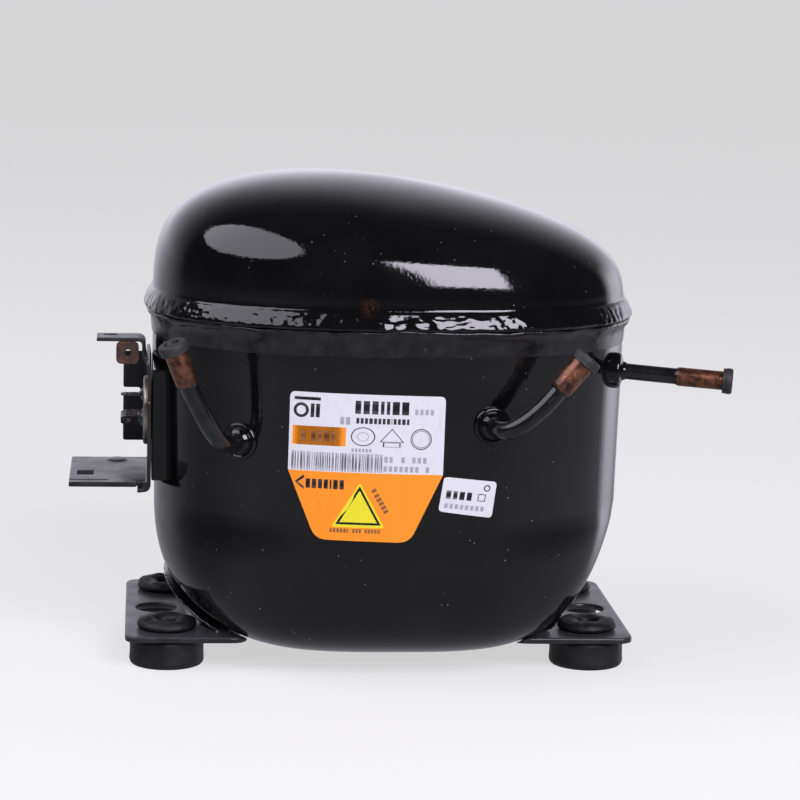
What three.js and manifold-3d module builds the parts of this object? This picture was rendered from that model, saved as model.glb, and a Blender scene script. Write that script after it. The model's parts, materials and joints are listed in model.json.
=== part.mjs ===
// Hermetic reciprocating compressor for a refrigerator, as an assembly of separate pieces.
// Millimetres. +X runs along the shell towards the discharge tube, +Y away from the labelled
// front, +Z up. The origin is the centre of the four mounting studs, at floor level.

import * as THREE from 'three';
import { mergeVertices } from 'three/addons/utils/BufferGeometryUtils.js';
import Module from 'manifold-3d';

const wasm = await Module();
wasm.setup();

// ---------------------------------------------------------------- driving dimensions

const GAP = 0.3; // left between two pieces that touch
const SIDES = 16; // facets of most round pieces

// mounting
const STUD_X = 85; // half the stud spacing along X
const STUD_Y = 35; // half the stud spacing along Y
const STUD_HOLE_R = 3.75;
const GROMMET_R = 15;
const GROMMET_DOME_R = 12;
const GROMMET_NECK_R = 9;
const GROMMET_TOP = 18.6;
const PLATE_OUTER_X = 101.75;
const PLATE_INNER_X = 53;
const PLATE_HALF_Y = 52.5;
const PLATE_TOP = 14.3;
const PLATE_THICK = 2.5;
const PLATE_HOLE_X = 89;
const PLATE_HOLE_R = 8.25;
const FLANGE_TOP = 31; // height that the welded flange climbs up the shell
const FLANGE_HALF_Y = 48;

// shell
const SHELL_X = 3.8; // the shell's middle is this far from the studs' centre
const SHELL_HALF_X = 94.3;
const SHELL_HALF_Y = 77;
const SHELL_DRAFT = 1.2; // how much the wall widens between its foot and the seam
const SHELL_SHEET = 3;
const WALL_FOOT_Z = 65; // below this the wall curls in to the belly
const BELLY_DEPTH = 60;
const BELLY_POWER = 2.8;
const BELLY_FRONT_POWER = 4; // the belly is fuller at its front and back
const BELLY_END_EASE = 1.3; // the +X end of the belly is rounder by this much
const PLAN_POWER = 2.5; // superellipse exponent of the plan
const BELLY_PLAN_POWER = 3.2; // exponent at the foot, where the plan is boxier
const SEAM_Z = 141;
const RIM_Z = 146.4; // top edge of the lower shell, inside the cover's skirt
const LIP_Z = 141.4; // bottom edge of the cover's skirt
const BEAD_BOTTOM_Z = 131;
const DOME_RISE = 53.1;
const DOME_SLOPE = 0.205; // the dome is higher towards -X
const DOME_PLAN_POWER = 1.9;
const DOME_RISE_POWER = 3.6;
const SHELL_SIDES = 32;

// tubes through the shell: route of the middle line, radii of painted and bare lengths
const SUCTION = {
  route: [[-54, -58.5, 96], [-58, -66, 96], [-61.5, -74.5, 96.3], [-65.5, -82, 98.5], [-70.2, -87.5, 105],
    [-74.6, -90.5, 113.5], [-78.5, -92.6, 122], [-84.2, -95, 136.5]],
  painted: 3.5, bare: 4.35, bore: 2.9, bareFrom: 0.79,
};
const PROCESS = {
  route: [[38, -67.5, 104.5], [39.3, -75.5, 104.5], [41, -83.5, 104.2], [44.5, -88, 104.8], [50, -89.5, 108],
    [57, -89, 113.8], [63, -88, 120.3], [73.2, -87, 132]],
  painted: 3.5, bare: 4.5, bore: 2.9, bareFrom: 0.76,
};
const DISCHARGE = {
  route: [[84.6, -38.4, 121.6], [91.7, -40, 121.3], [105.2, -43.1, 120.5], [119.2, -46.3, 119.7],
    [136, -50.1, 118.8]],
  painted: 3.2, bare: 3.75, bore: 2.6, bareFrom: 0.62,
};
const COLLAR_R = 7.4;
const COLLAR_PROUD = 3.2;
const PLUG_WALL = 1.4;
const PLUG_LENGTH = 4;

// terminals and their bracket
const HEADER_Y = -9;
const HEADER_Z = 98.4;
const HEADER_R = 14;
const HEADER_PROUD = 3.2;
const HEADER_NECK_R = 11; // the part that goes through the shell
const PIN_CIRCLE_R = 6.4;
const PIN_STEM_R = 1.15;
const BRACKET_X = -92; // face against the shell
const BRACKET_SHEET = 1.5;
const BRACKET_FRONT = -37;
const BRACKET_BACK = 19;
const BRACKET_BOTTOM = 69.5;
const BRACKET_TOP = 121; // of the wide part, below the upper tab's neck
const WING_X = -103.5; // edge of the rear wing
const LOWER_TAB_END = -124.5;
const LOWER_TAB_TOP = 73.8;
const LOWER_TAB_THICK = 2;
const UPPER_TAB_END = -114;
const UPPER_TAB_TOP = 129.5;
const UPPER_TAB_FRONT = -22;
const UPPER_TAB_BACK = -7;

// motor and pump
const CRANK_X = 14;
const CRANK_THROW = 10.5;
const CYLINDER_Z = 146;
const PISTON_R = 13;
const PISTON_REACH = 50; // from the slide tube's axis to the crown
const SLIDE_TUBE_R = 15;
const SLIDE_BORE_R = 12.1;
const SLIDE_HALF_LENGTH = 25;
const SHAFT_R = 8;
const WEB_R = 20;
const COUNTERWEIGHT_R = 26;
const COUNTERWEIGHT_NOSE_R = 9;
const RIVET_R = 2.4;
const REED_THICK = 0.5;
const VALVE_PLATE_THICK = 3;
const HEAD_THICK = 14.4;
const HEAD_BOLT_R = 2.4;
const WAIST_R = 34; // the cut-outs in three sides of the deck
const DECK_BOTTOM = 108;
const DECK_TOP = 122;
const BLOCK_HALF = 23; // half-width of the cylinder block
const STATOR_HALF = 52;
const STATOR_BOTTOM = 46;
const STATOR_TOP = 90;
const STATOR_BORE_R = 30;
const STATOR_SLOTS = 24;
const ROTOR_R = 28.7;
const ROTOR_BOTTOM = 42;
const ROTOR_TOP = 92;
const WINDING_R = 48;
const WINDING_INNER_R = 32;
const BOLT_R = 2.8;
const BOLT_OFFSET = 43; // stator bolts, from the crank axis along X and Y
const SPRING_R = 7.2;
const SPRING_WIRE_R = 1;
const SPRING_COILS = 4;
const SPRING_BOTTOM = 26;
const SPRING_TOP = 40;

const CRANKPIN_X = CRANK_X - CRANK_THROW;
const CROWN_X = CRANKPIN_X - PISTON_REACH;
const CYLINDER_FACE_X = CROWN_X - 0.7;

// ---------------------------------------------------------------- solids

function toSolid(geometry) {
  const plain = geometry.clone();
  plain.deleteAttribute('normal');
  plain.deleteAttribute('uv');
  const merged = mergeVertices(plain, 1e-4);
  const corners = Array.from(merged.index.array);
  const triangles = [];
  for (let i = 0; i < corners.length; i += 3) {
    const [a, b, c] = corners.slice(i, i + 3);
    if (a !== b && b !== c && c !== a) triangles.push(a, b, c);
  }
  const mesh = new wasm.Mesh({
    numProp: 3,
    vertProperties: new Float32Array(merged.attributes.position.array),
    triVerts: new Uint32Array(triangles),
  });
  return new wasm.Manifold(mesh);
}

function toGeometry(solid) {
  const mesh = solid.getMesh();
  const geometry = new THREE.BufferGeometry();
  geometry.setAttribute('position', new THREE.BufferAttribute(new Float32Array(mesh.vertProperties), 3));
  geometry.setIndex(new THREE.BufferAttribute(new Uint32Array(mesh.triVerts), 1));
  geometry.computeVertexNormals();
  return geometry;
}

function join(first, ...others) {
  return toGeometry(others.reduce((sum, next) => sum.add(toSolid(next)), toSolid(first)));
}

function cut(body, ...tools) {
  return toGeometry(tools.reduce((left, tool) => left.subtract(toSolid(tool)), toSolid(body)));
}

function common(first, second) {
  return toGeometry(toSolid(first).intersect(toSolid(second)));
}

// Skins a list of rings, each a list of points, or one point where the skin closes.
function loft(rings, closesOnItself = false) {
  const positions = [];
  const starts = [];
  for (const ring of rings) {
    starts.push(positions.length / 3);
    for (const point of ring) positions.push(...point);
  }
  const index = [];
  const spans = closesOnItself ? rings.length : rings.length - 1;
  for (let i = 0; i < spans; i += 1) {
    const next = (i + 1) % rings.length;
    const count = Math.max(rings[i].length, rings[next].length);
    for (let j = 0; j < count; j += 1) {
      const after = (j + 1) % count;
      const low = starts[i] + (rings[i].length === 1 ? 0 : j);
      const lowAfter = starts[i] + (rings[i].length === 1 ? 0 : after);
      const high = starts[next] + (rings[next].length === 1 ? 0 : j);
      const highAfter = starts[next] + (rings[next].length === 1 ? 0 : after);
      if (rings[next].length > 1) index.push(low, high, highAfter);
      if (rings[i].length > 1) index.push(low, highAfter, lowAfter);
    }
  }
  const geometry = new THREE.BufferGeometry();
  geometry.setAttribute('position', new THREE.Float32BufferAttribute(positions, 3));
  geometry.setIndex(signedVolume(positions, index) < 0 ? index.reverse() : index);
  return geometry;
}

function signedVolume(positions, index) {
  const corner = (i) => new THREE.Vector3().fromArray(positions, index[i] * 3);
  let volume = 0;
  for (let i = 0; i < index.length; i += 3) {
    volume += corner(i).dot(corner(i + 1).cross(corner(i + 2))) / 6;
  }
  return volume;
}

function box(x, y, z) {
  const [x0, x1] = x;
  const [y0, y1] = y;
  const [z0, z1] = z;
  const geometry = new THREE.BoxGeometry(x1 - x0, y1 - y0, z1 - z0);
  return geometry.translate((x0 + x1) / 2, (y0 + y1) / 2, (z0 + z1) / 2);
}

// A round bar from one point to another.
function bar(from, to, radius, sides = SIDES, endRadius = radius) {
  const start = new THREE.Vector3(...from);
  const along = new THREE.Vector3(...to).sub(start);
  const geometry = new THREE.CylinderGeometry(endRadius, radius, along.length(), sides);
  geometry.translate(0, along.length() / 2, 0);
  const turn = new THREE.Quaternion().setFromUnitVectors(new THREE.Vector3(0, 1, 0), along.normalize());
  return geometry.applyQuaternion(turn).translate(...from);
}

// Turns a closed profile of [radius, height] about an axis through a point.
function turned(profile, origin = [0, 0, 0], axis = [0, 0, 1], sides = SIDES) {
  const ring = ([radius, height]) => (radius === 0 ? [[0, 0, height]] : circle(radius, height, sides));
  const rings = profile.map(ring);
  const opensOnAxis = profile[0][0] === 0;
  const geometry = loft(rings, !opensOnAxis);
  const turn = new THREE.Quaternion().setFromUnitVectors(
    new THREE.Vector3(0, 0, 1),
    new THREE.Vector3(...axis).normalize(),
  );
  return geometry.applyQuaternion(turn).translate(...origin);
}

function circle(radius, height, sides) {
  return Array.from({ length: sides }, (_, i) => {
    const angle = (i / sides) * 2 * Math.PI;
    return [radius * Math.cos(angle), radius * Math.sin(angle), height];
  });
}

// An outline in X and Y, given as a THREE.Shape, pulled up from z0 to z1.
function slab(shape, z0, z1, curveSegments = 6) {
  const options = { depth: z1 - z0, bevelEnabled: false, curveSegments };
  return new THREE.ExtrudeGeometry(shape, options).translate(0, 0, z0);
}

// The same outline, stood up so that its X and Y run along Y and Z, pulled along X.
function slabAlongX(shape, x0, x1, curveSegments = 6) {
  const options = { depth: x1 - x0, bevelEnabled: false, curveSegments };
  const geometry = new THREE.ExtrudeGeometry(shape, options);
  const axes = new THREE.Matrix4().makeBasis(
    new THREE.Vector3(0, 1, 0),
    new THREE.Vector3(0, 0, 1),
    new THREE.Vector3(1, 0, 0),
  );
  return geometry.applyMatrix4(axes).translate(x0, 0, 0);
}

// The same outline, stood up so that its X and Y run along X and Z, pulled along Y.
function slabAlongY(shape, y0, y1, curveSegments = 6) {
  const options = { depth: y1 - y0, bevelEnabled: false, curveSegments };
  const geometry = new THREE.ExtrudeGeometry(shape, options);
  return geometry.rotateX(Math.PI / 2).translate(0, y1, 0);
}

function roundedRectangle(x0, x1, y0, y1, radius) {
  const shape = new THREE.Shape();
  shape.moveTo(x0 + radius, y0);
  shape.lineTo(x1 - radius, y0);
  shape.absarc(x1 - radius, y0 + radius, radius, -Math.PI / 2, 0);
  shape.lineTo(x1, y1 - radius);
  shape.absarc(x1 - radius, y1 - radius, radius, 0, Math.PI / 2);
  shape.lineTo(x0 + radius, y1);
  shape.absarc(x0 + radius, y1 - radius, radius, Math.PI / 2, Math.PI);
  shape.lineTo(x0, y0 + radius);
  shape.absarc(x0 + radius, y0 + radius, radius, Math.PI, 1.5 * Math.PI);
  return shape;
}

function polygon(points) {
  return new THREE.Shape(points.map(([x, y]) => new THREE.Vector2(x, y)));
}

// Rings of a bar that follows a curve, kept free of twist; stations are { at, radius }.
function sweepRings(curve, stations, sides) {
  let normal = null;
  return stations.map(({ at, radius }) => {
    const centre = curve.getPointAt(at);
    const tangent = curve.getTangentAt(at);
    if (!normal) normal = new THREE.Vector3(0, 0, 1).cross(tangent).normalize();
    normal.addScaledVector(tangent, -normal.dot(tangent)).normalize();
    const binormal = tangent.clone().cross(normal);
    return Array.from({ length: sides }, (_, i) => {
      const angle = (i / sides) * 2 * Math.PI;
      const point = centre.clone();
      point.addScaledVector(normal, radius * Math.cos(angle));
      point.addScaledVector(binormal, radius * Math.sin(angle));
      return point.toArray();
    });
  });
}

function solidSweep(curve, steps, radius, sides) {
  const stations = Array.from({ length: steps + 1 }, (_, i) => ({ at: i / steps, radius }));
  const rings = sweepRings(curve, stations, sides);
  const start = [curve.getPointAt(0).toArray()];
  const end = [curve.getPointAt(1).toArray()];
  return loft([start, ...rings, end]);
}

function routeCurve(route) {
  return new THREE.CatmullRomCurve3(route.map((point) => new THREE.Vector3(...point)), false, 'centripetal');
}

// ---------------------------------------------------------------- shell surfaces

// Ring of the plan at a height, with the wall moved out by an offset.
function planRing(halfX, halfY, power, height) {
  return Array.from({ length: SHELL_SIDES }, (_, i) => {
    const angle = (i / SHELL_SIDES) * 2 * Math.PI;
    const [x, y] = planPoint(angle, halfX(angle), halfY(angle), power);
    return [x, y, typeof height === 'function' ? height(x) : height];
  });
}

function planPoint(angle, halfX, halfY, power) {
  const bend = (value) => Math.sign(value) * Math.abs(value) ** (2 / power);
  return [SHELL_X + halfX * bend(Math.cos(angle)), halfY * bend(Math.sin(angle))];
}

function wallRing(height, offset) {
  const rise = Math.min(1, (height - WALL_FOOT_Z) / BELLY_DEPTH);
  const halfX = SHELL_HALF_X + SHELL_DRAFT * rise + offset;
  const halfY = SHELL_HALF_Y + SHELL_DRAFT * rise + offset;
  return planRing(() => halfX, () => halfY, PLAN_POWER, height);
}

// Ring of the belly at a share of its depth, 0 at the wall's foot and 1 at the bottom.
function bellyRing(share, offset) {
  const power = PLAN_POWER + (BELLY_PLAN_POWER - PLAN_POWER) * share;
  const inward = (angle) => {
    const fuller = (BELLY_FRONT_POWER - BELLY_POWER) * Math.sin(angle) ** 2;
    const roundness = BELLY_POWER + fuller - BELLY_END_EASE * Math.max(0, Math.cos(angle)) ** 5;
    return (1 - share ** roundness) ** (1 / roundness);
  };
  const height = WALL_FOOT_Z - (BELLY_DEPTH + offset) * share;
  const halfX = (angle) => (SHELL_HALF_X + offset) * inward(angle);
  const halfY = (angle) => (SHELL_HALF_Y + offset) * inward(angle);
  return planRing(halfX, halfY, power, height);
}

// Ring of the dome; turn runs from 0 at the seam to a right angle at the crown.
function domeRing(turn, offset) {
  const spread = Math.cos(turn) ** (2 / DOME_PLAN_POWER);
  const rise = Math.sin(turn) ** (2 / DOME_RISE_POWER);
  const halfX = SHELL_HALF_X + SHELL_DRAFT + offset;
  const halfY = SHELL_HALF_Y + SHELL_DRAFT + offset;
  const height = (x) => {
    const along = (x - SHELL_X) / (SHELL_HALF_X + SHELL_DRAFT);
    return SEAM_Z + (DOME_RISE * (1 - DOME_SLOPE * along) + offset) * rise;
  };
  return planRing(() => halfX * spread, () => halfY * spread, PLAN_POWER, height);
}

const BELLY_SHARES = [0.3, 0.52, 0.7, 0.84, 0.94, 0.99];
const DOME_TURNS = [0.34, 0.54, 0.76, 0.98, 1.2, 1.42];

function bellyPole(offset) {
  return [[SHELL_X, 0, WALL_FOOT_Z - BELLY_DEPTH - offset]];
}

function domePole(offset) {
  return [[SHELL_X, 0, SEAM_Z + DOME_RISE + offset]];
}

function lowerOutside(offset) {
  const belly = [...BELLY_SHARES].reverse().map((share) => bellyRing(share, offset));
  return [bellyPole(offset), ...belly, wallRing(WALL_FOOT_Z, offset), wallRing(95, offset)];
}

// The lower shell's outside grown by an offset, as a solid, used to trim what lies against it.
function shellBody(offset, top = RIM_Z) {
  const rim = wallRing(top, offset);
  return loft([...lowerOutside(offset), rim, [[SHELL_X, 0, top]]]);
}

// ---------------------------------------------------------------- pieces

const assembly = new THREE.Group();
assembly.name = 'hermetic_compressor';

function add(name, geometry, material) {
  const mesh = new THREE.Mesh(toGeometry(toSolid(geometry)), material);
  mesh.name = name;
  assembly.add(mesh);
}

function finish(color, roughness, metalness = 0) {
  return new THREE.MeshStandardMaterial({ color, roughness, metalness });
}

const BLACK_PAINT = () => finish(0x0b0b0d, 0.18);
const SATIN_PAINT = () => finish(0x1a1a1e, 0.42);
const RUBBER = () => finish(0x17171a, 0.8);
const COPPER = () => finish(0xb06a48, 0.45, 0.8);
const BRIGHT_STEEL = () => finish(0x9a9a9c, 0.35, 0.9);
const CAST_IRON = () => finish(0x55565a, 0.6, 0.7);
const SPRING_STEEL = () => finish(0x77797d, 0.3, 0.9);

function addShells(openings) {
  const rim = [wallRing(RIM_Z, 0), wallRing(RIM_Z, -SHELL_SHEET)];
  const inside = lowerOutside(-SHELL_SHEET).reverse();
  add('lower_shell', cut(loft([...lowerOutside(0), ...rim, ...inside]), ...openings), BLACK_PAINT());

  // height and distance out from the wall, down the skirt's outside and up its inside
  const skirt = [
    [150.5, 0.1], [148.2, 0.8], [145, 2.4], [142.6, 3.5], [LIP_Z, 3.4],
    [LIP_Z, GAP + 0.1], [RIM_Z + 0.5, GAP + 0.1],
  ];
  const downwards = [...DOME_TURNS].reverse();
  add('upper_shell', loft([
    domePole(0),
    ...downwards.map((turn) => domeRing(turn, 0)),
    ...skirt.map(([height, offset]) => wallRing(height, offset)),
    wallRing(149, -SHELL_SHEET),
    ...DOME_TURNS.map((turn) => domeRing(turn, -SHELL_SHEET)),
    domePole(-SHELL_SHEET),
  ]), BLACK_PAINT());

  const bead = [
    [LIP_Z - GAP, GAP], [LIP_Z - GAP, 3.2], [138.6, 2.9], [135.4, 1.6],
    [BEAD_BOTTOM_Z, 0.7], [BEAD_BOTTOM_Z, GAP],
  ];
  add('seam_weld', loft(bead.map(([height, offset]) => wallRing(height, offset)), true), BLACK_PAINT());
}

function addFootPlate(name, sign) {
  const outline = roundedRectangle(PLATE_INNER_X, PLATE_OUTER_X, -PLATE_HALF_Y, PLATE_HALF_Y, 5);
  const flat = slab(outline, PLATE_TOP - PLATE_THICK, PLATE_TOP);
  const arch = new THREE.Shape();
  arch.moveTo(-FLANGE_HALF_Y, PLATE_TOP - 1);
  arch.lineTo(FLANGE_HALF_Y, PLATE_TOP - 1);
  arch.quadraticCurveTo(FLANGE_HALF_Y / 2, PLATE_TOP + 1, FLANGE_HALF_Y / 3, FLANGE_TOP - 4);
  arch.quadraticCurveTo(0, FLANGE_TOP + 4, -FLANGE_HALF_Y / 3, FLANGE_TOP - 4);
  arch.quadraticCurveTo(-FLANGE_HALF_Y / 2, PLATE_TOP + 1, -FLANGE_HALF_Y, PLATE_TOP - 1);
  const layer = cut(shellBody(GAP + PLATE_THICK, 40), shellBody(GAP, 45));
  const climb = common(layer, slabAlongXEitherWay(arch, sign));
  const plate = sign > 0 ? flat : toGeometry(toSolid(flat).mirror([1, 0, 0]));
  const holes = [-1, 1].map((end) => bar([sign * STUD_X, end * STUD_Y, 0], [sign * STUD_X, end * STUD_Y, 20],
    GROMMET_NECK_R + GAP));
  const middle = bar([sign * PLATE_HOLE_X, 0, 0], [sign * PLATE_HOLE_X, 0, 20], PLATE_HOLE_R);
  const trimmed = cut(plate, shellBody(GAP), ...holes, middle);
  add(name, join(trimmed, climb), SATIN_PAINT());
}

function slabAlongXEitherWay(shape, sign) {
  return sign > 0 ? slabAlongX(shape, PLATE_INNER_X, 110) : slabAlongX(shape, -110, -PLATE_INNER_X);
}

function addGrommet(name, x, y) {
  const profile = [
    [STUD_HOLE_R, 0], [GROMMET_R, 0], [GROMMET_R, 11.5], [GROMMET_NECK_R, 11.5],
    [GROMMET_NECK_R, 14.6], [GROMMET_DOME_R, 14.6], [GROMMET_DOME_R, 16.4],
    [GROMMET_DOME_R - 2.6, GROMMET_TOP - 0.5], [6, GROMMET_TOP], [STUD_HOLE_R, GROMMET_TOP - 1.6],
  ];
  add(name, turned(profile, [x, y, 0], [0, 0, 1], 16), RUBBER());
}

function addTube(name, tube) {
  const curve = routeCurve(tube.route);
  const steps = 10;
  const swage = tube.bareFrom;
  const even = Array.from({ length: steps }, (_, i) => i / steps);
  const stops = even.filter((at) => Math.abs(at - swage) > 0.03);
  const ats = [...stops, swage - 0.02, swage + 0.02, 1].sort((a, b) => a - b);
  const outside = ats.map((at) => ({ at, radius: at > swage ? tube.bare : tube.painted }));
  const inside = ats.map((at) => ({ at, radius: at > swage ? tube.bare - 1 : tube.bore }));
  const sides = 10;
  const rings = [...sweepRings(curve, outside, sides), ...sweepRings(curve, inside, sides).reverse()];
  add(`${name}_tube`, loft(rings, true), COPPER());

  const tip = curve.getPointAt(1).toArray();
  const out = curve.getTangentAt(1).toArray();
  const plugR = tube.bare + PLUG_WALL;
  const plug = [
    [0, 0.6], [tube.bare - 1.6, 0.6], [tube.bare - 1.6, PLUG_LENGTH - 2.2], [plugR - 0.2, PLUG_LENGTH - 2.2],
    [plugR, PLUG_LENGTH - 2.6], [plugR, -2], [tube.bare + GAP, -2], [tube.bare + GAP, GAP], [0, GAP],
  ];
  add(`${name}_plug`, turned(plug.reverse(), tip, out, 14), RUBBER());
}

function addCollar(name, tube) {
  const seat = new THREE.Vector3(...tube.route[1]);
  const inner = new THREE.Vector3(...tube.route[0]);
  const out = seat.clone().sub(inner).normalize();
  const bore = tube.painted + 2 * GAP;
  const profile = [
    [bore, -4], [COLLAR_R, -4], [COLLAR_R, 1.2], [COLLAR_R - 1.2, 2.2], [COLLAR_R - 2.6, 1.2],
    [bore + 0.8, COLLAR_PROUD], [bore, COLLAR_PROUD],
  ];
  const ring = turned(profile, seat.toArray(), out.toArray(), 16);
  add(`${name}_collar`, cut(ring, shellBody(GAP)), BLACK_PAINT());
}

function tubeOpening(tube) {
  const inner = new THREE.Vector3(...tube.route[0]);
  const seat = new THREE.Vector3(...tube.route[1]);
  const beyond = seat.clone().multiplyScalar(2).sub(inner);
  return bar(tube.route[0], beyond.toArray(), tube.painted + GAP + 0.1, 16);
}

// ---------------------------------------------------------------- terminals

function addTerminals() {
  const hub = [BRACKET_X, HEADER_Y, HEADER_Z];
  const pins = [90, 210, 330].map((degrees) => {
    const angle = THREE.MathUtils.degToRad(degrees);
    const y = HEADER_Y + PIN_CIRCLE_R * Math.cos(angle);
    return { angle, y, z: HEADER_Z + PIN_CIRCLE_R * Math.sin(angle) };
  });
  const cup = turned([
    [0, HEADER_PROUD], [HEADER_R - 0.8, HEADER_PROUD], [HEADER_R, HEADER_PROUD - 0.8], [HEADER_R, -0.2],
    [HEADER_NECK_R, -0.2], [HEADER_NECK_R, -6], [0, -6],
  ], hub, [-1, 0, 0]);
  const sockets = pins.map(({ y, z }) => bar([-100, y, z], [-80, y, z], PIN_STEM_R + 0.35, 12));
  add('terminal_header', cut(cup, ...sockets), BRIGHT_STEEL());

  pins.forEach(({ angle, y, z }, i) => {
    const stem = bar([-96.5, y, z], [-80, y, z], PIN_STEM_R, 12);
    const blade = box([-104.3, -96.2], [-2.4, 2.4], [-0.4, 0.4]);
    blade.rotateX(angle - Math.PI / 2).translate(0, y, z);
    add(`terminal_pin_${i + 1}`, join(stem, blade), BRIGHT_STEEL());
  });
}

function addBracket() {
  const face = BRACKET_X - BRACKET_SHEET;
  const across = [BRACKET_FRONT, BRACKET_BACK];
  const base = box([face, BRACKET_X], across, [BRACKET_BOTTOM + 1.5, BRACKET_TOP]);
  const curl = box([face - 3.2, BRACKET_X], across, [BRACKET_BOTTOM, BRACKET_BOTTOM + 2]);
  const neck = box([face, BRACKET_X], [UPPER_TAB_FRONT, UPPER_TAB_BACK], [BRACKET_TOP - 1, UPPER_TAB_TOP]);
  const upper = box([UPPER_TAB_END, BRACKET_X], [UPPER_TAB_FRONT, UPPER_TAB_BACK],
    [UPPER_TAB_TOP - BRACKET_SHEET, UPPER_TAB_TOP]);
  const lower = box([LOWER_TAB_END, BRACKET_X], across, [LOWER_TAB_TOP - LOWER_TAB_THICK, LOWER_TAB_TOP]);
  const notchX = WING_X + 7;
  const wing = slabAlongY(polygon([
    [BRACKET_X, 81], [WING_X, 81], [WING_X, 100.6], [notchX, 100.6], [notchX, 103.2], [WING_X, 103.2],
    [WING_X, 118.5], [BRACKET_X, 118.5],
  ]), BRACKET_BACK - BRACKET_SHEET, BRACKET_BACK);
  const headerHole = bar([-100, HEADER_Y, HEADER_Z], [-85, HEADER_Y, HEADER_Z], HEADER_R + 0.5);
  const upperSlot = box([-111, -105.8], [-13.5, -10.5], [120, 135]);
  const lowerSlot = box([-121.5, -115], [-21, -11.5], [65, 80]);
  const slit = box([-130, -109], [-32.6, -31.4], [65, 80]);
  const sheet = join(base, curl, neck, upper, lower, wing);
  add('terminal_bracket', cut(sheet, headerHole, upperSlot, lowerSlot, slit), SATIN_PAINT());

  const tab = roundedRectangle(-106.2, -97.2, 118.9, UPPER_TAB_TOP - BRACKET_SHEET - GAP, 2.2);
  const hole = bar([-101.5, -25, 123.4], [-101.5, -15, 123.4], 1.4, 12);
  add('earth_tab', cut(slabAlongY(tab, -21.8, -21, 4), hole), finish(0x6b3a24, 0.8, 0.3));
}

// ---------------------------------------------------------------- labels

function addLabel(name, outline, material) {
  const skin = cut(shellBody(GAP + 0.4, 135), shellBody(GAP, 138));
  add(name, common(skin, slabAlongY(polygon(outline), -100, -50)), material);
}

// ---------------------------------------------------------------- motor

function addMotor() {
  const [left, right] = [CRANK_X - STATOR_HALF, CRANK_X + STATOR_HALF];
  const outline = roundedRectangle(left, right, -STATOR_HALF, STATOR_HALF, 9);
  const bore = new THREE.Path();
  const pitch = (2 * Math.PI) / STATOR_SLOTS;
  for (let i = 0; i < STATOR_SLOTS; i += 1) {
    const corners = [[STATOR_BORE_R, -0.2], [STATOR_BORE_R, 0.2], [43, 0.28], [43, 0.72]];
    for (const [radius, share] of corners) {
      const angle = (i + share) * pitch;
      const step = bore.currentPoint.lengthSq() === 0 ? 'moveTo' : 'lineTo';
      bore[step](CRANK_X + radius * Math.cos(angle), radius * Math.sin(angle));
    }
  }
  outline.holes.push(bore);
  const boltHoles = boltCorners().map(([x, y]) => bar([x, y, 40], [x, y, 95], BOLT_R + 0.6, 8));
  const stack = slab(outline, STATOR_BOTTOM, STATOR_TOP, 4);
  add('stator_core', cut(stack, ...boltHoles), finish(0x6b6d72, 0.5, 0.8));

  const coil = (low, high) => turned([
    [WINDING_INNER_R, low], [WINDING_R - 3, low], [WINDING_R, low + 3],
    [WINDING_R, high - 3], [WINDING_R - 3, high], [WINDING_INNER_R, high],
  ], [CRANK_X, 0, 0], [0, 0, 1], 24);
  add('winding_bottom', coil(34, STATOR_BOTTOM - GAP), COPPER());
  add('winding_top', coil(STATOR_TOP + GAP, 104), COPPER());

  const rotor = [
    [SHAFT_R + GAP, ROTOR_BOTTOM], [ROTOR_R - 6, ROTOR_BOTTOM], [ROTOR_R - 3, ROTOR_BOTTOM + 3],
    [ROTOR_R, ROTOR_BOTTOM + 3.5], [ROTOR_R, ROTOR_TOP - 3], [ROTOR_R - 3, ROTOR_TOP - 2.5],
    [ROTOR_R - 6, ROTOR_TOP], [SHAFT_R + GAP, ROTOR_TOP],
  ];
  add('rotor', turned(rotor, [CRANK_X, 0, 0], [0, 0, 1], 24), finish(0x8c8e92, 0.4, 0.8));

  boltCorners().forEach(([x, y], i) => {
    const head = bar([x, y, 41.2], [x, y, STATOR_BOTTOM - GAP], 5.2, 6);
    add(`stator_bolt_${i + 1}`, join(head, bar([x, y, 45], [x, y, 116], BOLT_R, 8)), BRIGHT_STEEL());
  });
}

function boltCorners() {
  const near = CRANK_X - BOLT_OFFSET;
  const far = CRANK_X + BOLT_OFFSET;
  return [[near, -BOLT_OFFSET], [far, -BOLT_OFFSET], [near, BOLT_OFFSET], [far, BOLT_OFFSET]];
}

function addSuspension() {
  const cavity = shellBody(-SHELL_SHEET - 3 * GAP);
  boltCorners().forEach(([x, y], i) => {
    const seat = bar([x, y, 2], [x, y, SPRING_BOTTOM - SPRING_WIRE_R - GAP], 8, 12);
    const stud = join(seat, bar([x, y, 2], [x, y, 33], 4.5, 12));
    add(`spring_pin_${i + 1}`, common(stud, cavity), SPRING_STEEL());
    const coil = solidSweep(new Coil(x, y), 8 * SPRING_COILS, SPRING_WIRE_R, 4);
    add(`suspension_spring_${i + 1}`, coil, SPRING_STEEL());
  });
}

class Coil extends THREE.Curve {
  constructor(x, y) {
    super();
    this.x = x;
    this.y = y;
  }

  getPoint(t, target = new THREE.Vector3()) {
    const angle = t * SPRING_COILS * 2 * Math.PI;
    const height = SPRING_BOTTOM + (SPRING_TOP - SPRING_BOTTOM) * t;
    return target.set(this.x + SPRING_R * Math.cos(angle), this.y + SPRING_R * Math.sin(angle), height);
  }
}

// ---------------------------------------------------------------- pump

function headBoltSpots() {
  return [[-18, -18], [18, -18], [-18, 18], [18, 18]].map(([y, z]) => [y, CYLINDER_Z + z]);
}

function squareAround(half, radius) {
  return roundedRectangle(-half, half, CYLINDER_Z - half, CYLINDER_Z + half, radius);
}

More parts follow.
